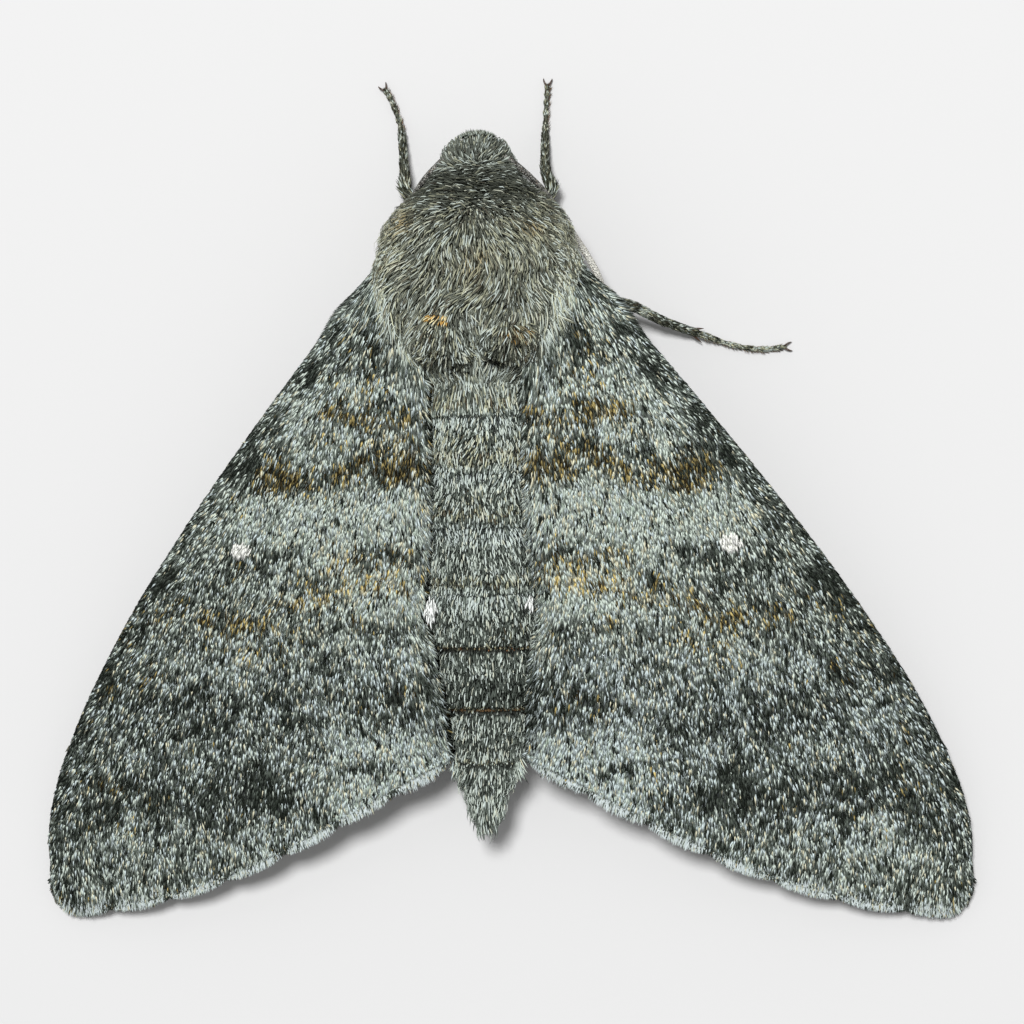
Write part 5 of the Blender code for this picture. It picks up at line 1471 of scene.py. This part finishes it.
def small_tuft(name, at, spread, density, aim, run, colours, seed, height=0.5, fan=0.6, width=0.062):
    """A tuft of two colours that stands out of the thorax, combed like a brush."""
    rng = np.random.default_rng(seed)
    p, n, off, cells = oval_roots(at, spread, density, rng)
    count = len(p)
    d = along(np.array(aim) + fan * off[:, :1] * np.array((1.0, 0.0, 0.0)) + 0.09 * rng.standard_normal((count, 3)), n)
    pick = rng.random((count, 1))
    colour = np.where(pick < 0.42, np.array(colours[0]), np.where(pick < 0.72, np.array(colours[1]), np.array(colours[2])))
    colour = colour * (0.75 + 0.4 * rng.random((count, 1)))
    coat = Coat()
    coat.locks(p, d, n, run * (0.75 + 0.4 * rng.random(count)), width, height * (0.75 + 0.35 * rng.random(count)), colour,
               cells, sink=0.1, sweep=0.10 * rng.standard_normal(count), droop=0.8, ends=(0.35, 1.15))
    return coat.build(name, HAIR_MAT)


def lobe_hair(name, at, spread, seed):
    """One of the two rounded tufts at the back of the thorax: it overhangs the first ring."""
    rng = np.random.default_rng(seed)
    p, n, off, cells = oval_roots(at, spread, 75.0, rng, 130)
    count = len(p)
    r = np.sqrt((off ** 2).sum(1))
    rear = smoothstep((off[:, 1] - 0.25) / 0.6)
    bend = 0.75 * off[:, 0] * (1 - 1.6 * rear)
    d = along(np.stack([bend, np.ones(count), 0 * r], 1), n)
    d = turned(d, n, np.radians(9) * rng.standard_normal(count) + np.radians(30) * noise(p, 0.7, 70))
    run = (0.62 + 0.25 * rng.random(count)) * (1 - 0.30 * rear)
    run, keep = short_of_hollows(p, run, rng)
    rise = (0.40 + 0.42 * np.sqrt(np.clip(1 - r ** 2, 0, 1))) * (0.8 + 0.4 * rng.random(count))
    n = unit(n + 0.5 * np.array((0.0, 0.0, 1.0)))
    tip = p + 0.6 * run[:, None] * d
    tone, ochre, blue = body_pigment(tip)
    # painted shade: the rear rim of the tuft is darkened by up to 1.3 stops to stand in for the shadow under its
    # overhang
    tone = tone - 0.20 - 1.3 * smoothstep((r - 0.70) / 0.25) * smoothstep(off[:, 1] / 0.3)
    tone = tone - 0.9 * (rng.random(count) < 0.22)
    colour = 0.85 * scale_colours(tip, tone, ochre, blue + 0.2, rng, clump=0.22, mix=0.25, olive=True) \
        + 0.15 * BODY_GAIN * place_colour(tone, 0.5 * ochre, blue)
    p, d, n, run, rise, colour, cells = (a[keep] for a in (p, d, n, run, rise, colour, cells))
    count = len(p)
    coat = Coat()
    coat.locks(p, d, n, run, 0.066 * (0.8 + 0.4 * rng.random(count)), rise, colour, cells, sink=0.1,
               sweep=0.12 * rng.standard_normal(count) + 0.25 * noise(p, 0.6, 74), droop=0.50, ends=(0.35, 1.2))
    return coat.build(name, HAIR_MAT)


def side_tufts():
    """White tufts on the wings' inner edges, and the hair brushes at the rear corners of the last wide ring."""
    rng = np.random.default_rng(261)
    coat = Coat()
    for x, y, z, count, aim, run, spread, tone in (
            (2.42, 5.02, 6.26, 90, (-0.10, 1.0, 0.10), 0.60, (0.09, 0.20), 1.0),
            (-2.44, 4.78, 6.26, 44, (0.12, 1.0, 0.12), 0.48, (0.05, 0.12), 1.0),
            (1.50, 12.55, 3.85, 120, (0.34, 1.0, -0.05), 0.80, (0.10, 0.24), 0.75),
            (-1.25, 12.55, 3.85, 120, (-0.46, 1.0, -0.05), 0.80, (0.10, 0.24), 0.75)):
        p = np.array((x, y, z)) + np.stack([spread[0] * rng.standard_normal(count), spread[1] * rng.standard_normal(count),
                                            0.10 * rng.standard_normal(count)], 1)
        d = unit(np.array(aim) + 0.13 * rng.standard_normal((count, 3)))
        n = unit(np.cross(np.cross(d, np.array((0.0, 0.0, 1.0))), d))
        if tone > 0.9:
            colour = np.array((0.93, 0.96, 0.93)) * (0.88 + 0.12 * rng.random((count, 1)))
        else:
            colour = scale_colours(p, np.full(count, tone), np.zeros(count), np.zeros(count), rng)
        coat.locks(p, d, n, run * (0.75 + 0.4 * rng.random(count)), 0.085 if tone > 0.9 else 0.065, 0.08, colour, strip_cells(0, 1, count),
                   sweep=0.1 * rng.standard_normal(count), ends=(0.7, 1.1))
    for line, shade in ((7.15, (0.34, 0.155, 0.065)), (10.13, (0.115, 0.070, 0.032))):
        count = 260
        v = 0.30 + 0.40 * rng.random(count)
        u = np.full(count, (line - SKIN_Y0) / (SKIN_Y1 - SKIN_Y0)) + 0.0008 * rng.standard_normal(count)
        p, n = trunk_patch.read(trunk_patch.g, u, v), unit(trunk_patch.read(trunk_patch.n, u, v))
        d = along(np.array((0.0, 1.0, 0.0)) + 0.2 * rng.standard_normal((count, 3)), n)
        coat.blades(p, d, n, np.full(count, 0.17), 0.075, 0.05, np.array(shade) * (0.6 + 0.8 * rng.random((count, 1))),
                    strip_cells(0, 1, count), droop=0.2)
    return coat.build("side_tufts", HAIR_MAT)


def shoulder_hair(side):
    """Long pale hair from the flank of the thorax back over the base of the wing."""
    m = SIDES[side]
    rng = np.random.default_rng(231 if m > 0 else 232)
    u0, u1 = trunk_uv(-12.6, -6.4)
    turn0, turn1 = (0.25 - 24 / 360, 0.25 + 42 / 360) if m > 0 else (0.75 - 42 / 360, 0.75 + 24 / 360)
    u, v, cells = trunk_patch.cells(100, 78, 190.0, rng, (u0, u1, turn0, turn1))
    y = SKIN_Y0 + (SKIN_Y1 - SKIN_Y0) * u
    count = len(u)
    p, n = trunk_patch.read(trunk_patch.g, u, v), unit(trunk_patch.read(trunk_patch.n, u, v))
    lean = 0.75 - 0.45 * smoothstep((y + 10.5) / 3.5)
    d = along(np.stack([m * lean, np.ones(count), -0.25 + 0 * y], 1), n)
    d = turned(d, n, np.radians(13) * rng.standard_normal(count) + np.radians(24) * noise(p, 0.9, 65))
    p = p + 0.30 * n
    run = (0.42 + 0.53 * smoothstep((y + 12.2) / 1.8) + 0.75 * smoothstep((y + 10.5) / 1.5) * smoothstep((-6.6 - y) / 1.5)) * (0.7 + 0.5 * rng.random(count))
    over = np.array((m, 0, 0.1)) + 0 * p
    n2 = unit(n + 0.6 * np.array((0.0, 0.0, 1.0)))
    at = p + 0.6 * run[:, None] * d
    tone, ochre, blue = body_pigment(at)
    pale = smoothstep((y + 11.2) / 1.2) * smoothstep((-6.6 - y) / 0.8)
    tone = tone - 0.05 + 0.70 * pale - 0.7 * (rng.random(count) < 0.30)
    mixed = scale_colours(at, tone, 0.6 * ochre, blue + 0.4 * pale, rng, clump=0.25, mix=0.3, olive=True)
    colour = 0.8 * mixed + 0.2 * BODY_GAIN * place_colour(tone, 0.5 * ochre, blue)
    coat = Coat()
    coat.locks(p, d, n2, run, 0.068, (0.10 + 0.22 * smoothstep((y + 12.6) / 1.2)) * (0.7 + 0.5 * rng.random(count)), colour, cells, sink=0.3, rise=0.9,
               droop=0.35, sweep=0.10 * rng.standard_normal(count), ends=(0.55, 1.2))
    return coat.build("shoulder_fur_" + side, HAIR_MAT)


def top_weight(full, low):
    return lambda y, s: low + (full - low) * smoothstep((s + 0.35) / 0.6)


def body_coat():
    trunk_hair("head_fur", -17.45, -15.3, 190, top_weight(240, 130), 201, 0.54, 0.060, 9, 22,
               height=1.0, blend=0.60, share=0.36, over_tone=-0.34)
    trunk_hair("collar_fur", -15.7, -13.0, 205, top_weight(205, 55), 202, 0.66, 0.062, 9, 22,
               blend=0.72, share=0.32, over_tone=-0.50)
    trunk_hair("thorax_fur_front", -13.6, -9.8, 225, top_weight(180, 40), 203, 0.90, 0.068, 7, 32,
               blend=0.66, share=0.34, over_tone=-0.16)
    trunk_hair("thorax_fur_rear", -9.9, -5.6, 225, top_weight(180, 40), 204, 0.92, 0.068, 7, 32,
               blend=0.68, share=0.34, over_tone=-0.16)
    trunk_hair("abdomen_fur_front", -6.2, 3.2, 250, top_weight(165, 35), 205,
               lambda y: 0.52 + 0.40 * smoothstep((-4.2 - y) / 1.0), 0.066, 6, 18, blend=0.88, share=0.42,
               over_tone=-0.10, under_tone=-0.72, rows=True)
    trunk_hair("abdomen_fur_rear", 3.1, 16.0, 260, top_weight(175, 50), 206,
               lambda y: 0.50 + 0.25 * smoothstep((y - 13.8) / 1.0), 0.064, 6, 16, blend=0.88, share=0.42,
               over_tone=-0.10, under_tone=-0.72, rows=True)
    lobe_hair("rear_tuft_left", (1.25, -7.40), (1.15, 1.00), 211)
    lobe_hair("rear_tuft_right", (-1.85, -7.55), (1.15, 1.00), 212)


for side in SIDES:
    shoulder_hair(side)
    upper_scales(side)
    wing_fringe(side)
    edge_hairs(side)
    inner_curtain(side)
    costa_scales(side)
    plain_scales("forewing_under_scales", forewing.under, side, 160, 30.0, 141)
    plain_scales("hindwing_scales", hindwing.top, side, 110, 45.0, 151, 0.95)
    plain_scales("hindwing_under_scales", hindwing.under, side, 110, 40.0, 161)
body_coat()
cap_hair()
small_tuft("orange_tuft", (1.24, -8.70), (0.42, 0.20), 190.0, (0.55, 0.90, 0.0), 0.50,
           ((0.62, 0.37, 0.10), (0.86, 0.75, 0.43), (0.05, 0.038, 0.018)), 241, 0.66)
small_tuft("brown_tuft", (-2.05, -7.85), (0.48, 0.36), 170.0, (-0.20, 1.0, 0.0), 0.42,
           ((0.050, 0.038, 0.018), (0.24, 0.17, 0.070), (0.36, 0.215, 0.060)), 242, 0.62)
side_tufts()

# ------------------------------------------------------------------ limbs, palps, feelers, eyes
def limb_patch(points, per_leg, n_round, gain):
    """A limb's skin as a patch: u along, v round, with its last column on the first."""
    grid = limb_grid(points, per_leg, n_round, gain)
    patch = Patch(np.concatenate([grid, grid[:, :1]], axis=1))
    centre = grid.mean(1, keepdims=True)
    if ((patch.g[:, :1] - centre) * patch.n[:, :1]).sum() < 0:
        patch.n = -patch.n
    patch.n[:, 0] = patch.n[:, -1] = unit(patch.n[:, 0] + patch.n[:, -1])
    return patch


def leg_tone(t, p, name):
    """Tarsi dark with pale rings at their joints, tibia mottled; t runs 0 to 8 along the leg's points."""
    tarsus = smoothstep((t - 4.9) / 0.3)
    ring = 0.0
    for at, half in ((5.05, 0.13), (6.02, 0.14), (6.75, 0.10), (7.25, 0.09), (7.65, 0.08)):
        ring = ring + np.exp(-((t - at) / half) ** 2)
    knee = np.exp(-((t - 2.0) / 0.2) ** 2)
    tone = -0.35 + 0.95 * noise(p, 0.45, 71) + 0.55 * knee
    mid = name == "midleg_right"
    tone = tone + mid * (0.30 + 2.6 * np.exp(-((t - 3.32) / 0.13) ** 2))
    tone = tone * (1 - tarsus) + tarsus * (-0.95 + 1.15 * mid + 0.25 * noise(p, 0.3, 72) + (2.3 - 0.9 * mid) * np.minimum(ring, 1))
    ochre = 0.25 + 0.35 * tarsus * (1 - np.minimum(ring, 1)) + 0.3 * np.maximum(noise(p, 0.8, 73), 0)
    return tone, ochre, 0 * tone


def leg_coat(name, points, seed):
    rng = np.random.default_rng(seed)
    patch = limb_patch(points, 14, 24, leg_profile)
    coat = Coat()

    def thick(u, v):
        t = 8 * u
        return 210.0 * (0.20 + 0.80 * smoothstep((t - 1.6) / 1.0))

    u, v, cells = patch.cells(150, 34, thick, rng)
    p, n = patch.read(patch.g, u, v), unit(patch.read(patch.n, u, v))
    d = along(patch.read(patch.du, u, v), n)
    t = 8 * u
    shag = smoothstep((5.1 - t) / 0.5) * smoothstep((t - 1.0) / 1.0)
    count = len(u)
    d = turned(d, n, np.radians(11) * rng.standard_normal(count))
    length = (0.20 + 0.16 * shag) * (0.75 + 0.5 * rng.random(count))
    knee = np.exp(-((t - 1.9) / 0.75) ** 2) * ("foreleg" in name)
    length = np.minimum(length + 0.20 * knee, 0.16 + 0.9 * (8 - t))
    lift = (0.022 + 0.038 * shag + 0.10 * knee) * (0.7 + 0.6 * rng.random(count))
    tone, ochre, blue = leg_tone(t, p, name)
    colour = 0.90 * scale_colours(p, tone - 0.35, ochre, blue, rng, mix=0.2, olive=True)
    coat.kites(p, d, n, length, 0.060 + 0.03 * rng.random(count), lift, colour, cells)
    # spines on the tarsus
    count = 46
    u = 0.645 + 0.34 * (np.arange(count) + rng.random(count)) / count
    v = np.where(np.arange(count) % 2, 0.60, 0.90) + 0.10 * rng.random(count)
    p, n = patch.read(patch.g, u, v), unit(patch.read(patch.n, u, v))
    d = along(patch.read(patch.du, u, v), n)
    colour = np.array((0.16, 0.10, 0.055)) * (0.6 + 0.9 * rng.random((count, 1)))
    coat.kites(p, unit(d + 0.25 * n), n, 0.20 + 0.08 * rng.random(count), 0.035, 0.09, colour,
               strip_cells(0, 1, count), belly=0.3)
    return coat.build(name + "_scales", HAIR_MAT)


def claws():
    """Two curved claws on each foot, and the paired spurs of the hind and middle tibiae."""
    v_all, f_all, count = [], [], 0
    horns = []
    for name, points in LEGS.items():
        p = np.asarray(points, float)
        end, before = p[-1, :3], p[-2, :3]
        along_leg = unit(end - before)
        side = unit(np.cross(along_leg, (0.0, 0.0, 1.0)))
        for m in (1, -1):
            start = end + 0.02 * along_leg + 0.06 * m * side + np.array((0, 0, 0.02))
            horns.append([(*start, 0.055), (*(start + 0.16 * along_leg + 0.10 * m * side + np.array((0, 0, 0.03))), 0.045),
                          (*(start + 0.30 * along_leg + 0.15 * m * side + np.array((0, 0, -0.04))), 0.028),
                          (*(start + 0.36 * along_leg + 0.15 * m * side + np.array((0, 0, -0.12))), 0.008)])
        if not name.startswith("fore"):
            knee = p[5, :3]
            run = unit(p[5, :3] - p[4, :3])
            side = unit(np.cross(run, (0.0, 0.0, 1.0)))
            for m, long in ((1, 0.62), (-1, 0.46)):
                a = knee - 0.25 * run + 0.16 * m * side - np.array((0, 0, 0.08))
                b = a + long * unit(run + 0.38 * m * side)
                horns.append([(*a, 0.06), (*(0.6 * a + 0.4 * b), 0.055), (*b, 0.012)])
    for h in horns:
        v, f = closed_tube(limb_grid(h, 4, 8))
        v_all.append(v)
        f_all.append(f + count)
        count += len(v)
    v = np.vstack(v_all)
    v[:, 2] = np.maximum(v[:, 2], 0.012)
    colour = np.tile(np.array((0.055, 0.030, 0.018)), (len(v), 1))
    obj = make_mesh("claws", v, np.vstack(f_all), HORN_MAT, colour, smooth=True)
    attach(obj, "root")
    return obj


def palp_coat(side):
    m = SIDES[side]
    rng = np.random.default_rng(401 if m > 0 else 402)
    points = [(m * x, y, z, 0.8 * r) for x, y, z, r in PALP]
    patch = limb_patch(points, 8, 20, None)
    coat = Coat()
    u, v, cells = patch.cells(60, 44, 260.0, rng)
    p, n = patch.read(patch.g, u, v), unit(patch.read(patch.n, u, v))
    count = len(u)
    d = along(patch.read(patch.du, u, v) + np.array((0.3 * m, -0.2, 0.25)), n)
    d = turned(d, n, np.radians(12) * rng.standard_normal(count))
    tone = 0.25 - 0.8 * smoothstep((p[:, 2] - 2.9) / 0.8) * smoothstep((np.abs(p[:, 0]) - 0.55) / 0.25) \
        + 0.25 * noise(p, 0.4, 81)
    colour = scale_colours(p, tone, np.full(count, 0.25), np.zeros(count), rng, mix=0.2)
    coat.blades(p, d, n, 0.30 + 0.22 * rng.random(count), 0.055, 0.09 + 0.05 * rng.random(count), colour, cells)
    return coat.build("palp_fur_" + side, HAIR_MAT)


SEGMENTS = 92
FEELER_GAIN = 0.52


def antenna(side):
    """Saw-edged feeler: a ring for each segment, brown below and scaled white above."""
    m = SIDES[side]
    rng = np.random.default_rng(411 if m > 0 else 412)
    points = [(m * (x + 0.06 * math.exp(-((y + 12.3) / 1.3) ** 2) - 0.55 * float(smoothstep((y + 10.9) / 1.4))), y, z,
               (FEELER_GAIN + 0.12 * math.exp(-((y + 11.0) / 2.2) ** 2)) * r) for x, y, z, r in ANTENNA]
    n_round = 14

    def teeth(t):
        return (0.80 + 0.20 * ((t * SEGMENTS) % 1.0)) * (1.0 - 0.55 * smoothstep((t - 0.90) / 0.10)) \
            * (0.8 + 0.2 * smoothstep(t / 0.1))

    grid = limb_grid(points, 46, n_round, teeth)
    v, f = closed_tube(grid)
    p = v
    colour = np.tile(np.array((0.115, 0.070, 0.038)), (len(v), 1)) * (0.75 + 0.5 * rng.random((len(v), 1)))
    axis = np.array(points)
    above = v[:, 2] - np.interp(v[:, 1], axis[:, 1], axis[:, 2])
    top = (smoothstep(above / 0.05) * smoothstep((v[:, 1] + 12.9) / 0.8))[:, None]
    colour = colour * (1 - top) + np.array((0.86, 0.85, 0.78)) * top
    obj = make_mesh("antenna_" + side, v, f, HORN_MAT, colour, smooth=True)
    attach(obj, "root")
    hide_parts("antenna_" + side)
    patch = limb_patch(points, 46, n_round, lambda t: 0.86 * (1.0 - 0.5 * smoothstep((t - 0.9) / 0.1)))
    coat = Coat()
    rows = SEGMENTS * 2
    u, v, cells = patch.cells(rows, 26, lambda a, b: 420.0 * (np.sin(2 * math.pi * b) > -0.25), rng)
    u = (np.floor(u * rows) + 0.5 + 0.2 * rng.standard_normal(len(u))) / rows
    u = u.clip(0.002, 0.985)
    p, n = patch.read(patch.g, u, v), unit(patch.read(patch.n, u, v))
    count = len(u)
    d = turned(along(patch.read(patch.du, u, v), n), n, np.radians(6) * rng.standard_normal(count))
    white = np.array((0.93, 0.92, 0.85)) * (0.92 + 0.08 * rng.random((count, 1)))
    brown = np.array((0.30, 0.25, 0.17)) * (0.7 + 0.5 * rng.random((count, 1)))
    upper = smoothstep((n[:, 2:3] + 0.1) / 0.5)
    colour = white * upper + brown * (1 - upper)
    hidden = smoothstep((-12.6 - p[:, 1:2]) / 1.0)
    colour = colour * (1 - hidden) + hidden * colour * (np.where(rng.random((count, 1)) < 0.5, 0.16, 0.62))
    coat.kites(p, d, n, 0.16, 0.085, 0.030, colour, cells, sink=0.02, ends=(0.92, 1.05))
    coat.build("antenna_scales_" + side, SCALE_MAT)
    return obj


def eye(side):
    """A dome of fine facets."""
    m = SIDES[side]
    rng = np.random.default_rng(421 if m > 0 else 422)
    n_u, n_v = 72, 96
    th = np.linspace(0, math.pi, n_u + 1)[1:-1]
    ph = np.linspace(0, 2 * math.pi, n_v, endpoint=False)
    axis = unit(np.array((m * 0.92, -0.38, 0.08)))
    a = unit(np.cross(axis, (0.0, 0.0, 1.0)))
    b = np.cross(axis, a)
    ring = (np.cos(th)[:, None, None] * axis + np.sin(th)[:, None, None]
            * (np.cos(ph)[None, :, None] * a + np.sin(ph)[None, :, None] * b))
    facets = 0.004 * np.sin(th[:, None] * 58) * np.sin(ph[None, :] * 44 * np.maximum(np.sin(th), 0.2).mean())
    r = 0.975 * EYE_R * (1 + facets)
    at = np.array((m * EYE_AT[0], EYE_AT[1], EYE_AT[2]))
    grid = at + ring * r[..., None]
    v, f = closed_tube(grid)
    tone = 0.5 + 0.5 * noise(v, 0.35, 91)
    colour = np.array((0.012, 0.008, 0.006)) * (0.7 + 0.9 * tone[:, None])
    obj = make_mesh("eye_" + side, v, f, EYE_MAT, colour, smooth=True)
    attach(obj, "root")
    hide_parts("eye_" + side)
    return obj


def proboscis():
    """The tongue: a ringed coil of two and a half turns under the head."""
    turns, n = 2.6, 260
    t = np.linspace(0, 1, n)
    ang = 0.5 * math.pi - 2 * math.pi * turns * t
    r = (TONGUE_R - 0.12) * (1 - 0.82 * t)
    cx, cy, cz = TONGUE_AT
    path = np.stack([cx + 0.02 * np.sin(6 * t), cy - r * np.sin(ang - 0.6), cz + 0.02 + r * np.cos(ang - 0.6) * 0.98,
                     0.105 * (1 - 0.6 * t) * (1 + 0.06 * np.sin(2 * math.pi * 70 * t))], 1)
    tangent = unit(np.gradient(path[:, :3], axis=0))
    side = np.tile(np.array((1.0, 0, 0)), (n, 1))
    lift = unit(np.cross(side, tangent))
    a = np.linspace(0, 2 * math.pi, 12, endpoint=False)
    grid = path[:, None, :3] + path[:, 3, None, None] * (1.5 * np.cos(a)[None, :, None] * side[:, None]
                                                         + np.sin(a)[None, :, None] * lift[:, None])
    v, f = closed_tube(grid)
    stem = [(0.0, -16.25, 2.75, 0.20), (0.0, -16.42, 2.45, 0.17), (0.0, -16.55, 2.25, 0.13)]
    v2, f2 = closed_tube(limb_grid(stem, 5, 12))
    f = np.vstack([f, f2 + len(v)])
    v = np.vstack([v, v2])
    colour = np.array((0.16, 0.085, 0.035)) * (0.8 + 0.4 * (0.5 + 0.5 * noise(v, 0.3, 95)))[:, None]
    obj = make_mesh("proboscis", v, f, HORN_MAT, colour, smooth=True)
    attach(obj, "root")
    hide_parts("proboscis")
    return obj


for i, (name, points) in enumerate(LEGS.items()):
    leg_coat(name, points, 301 + i)
claws()
for side in SIDES:
    palp_coat(side)
    antenna(side)
    eye(side)
proboscis()

print("coat:", sum(n for _, n in ALL_COATS), "triangles;", ", ".join("%s %d" % a for a in ALL_COATS))

# ------------------------------------------------------------------ stage
def area_light(name, at, size, power, target=(0.0, 0.0, 0.0), colour=(1, 1, 1)):
    data = bpy.data.lights.new(name, "AREA")
    data.shape, data.size, data.energy, data.color = "DISK", size, power, colour
    obj = bpy.data.objects.new(name, data)
    bpy.context.collection.objects.link(obj)
    obj.location = at
    obj.rotation_euler = (Vector(target) - Vector(at)).to_track_quat("-Z", "Y").to_euler()
    return obj


def build_stage():
    w = 0.6
    mesh = bpy.data.meshes.new("floor")
    mesh.from_pydata([(-w, -w, 0), (w, -w, 0), (w, w, 0), (-w, w, 0)], [], [(0, 1, 2, 3)])
    floor = bpy.data.objects.new("floor", mesh)
    bpy.context.collection.objects.link(floor)
    mesh.materials.append(node_material("floor", 0.75, 0.2, attribute=False, colour=(0.62, 0.62, 0.62)))
    key = area_light("key", (0.0, -0.15, 0.58), 0.14, 3.75)
    world = bpy.data.worlds.new("world")
    world.use_nodes = True
    world.node_tree.nodes["Background"].inputs["Color"].default_value = (1, 1, 1, 1)
    world.node_tree.nodes["Background"].inputs["Strength"].default_value = 0.40
    bpy.context.scene.world = world
    bpy.context.scene.view_settings.view_transform = "Standard"


build_stage()
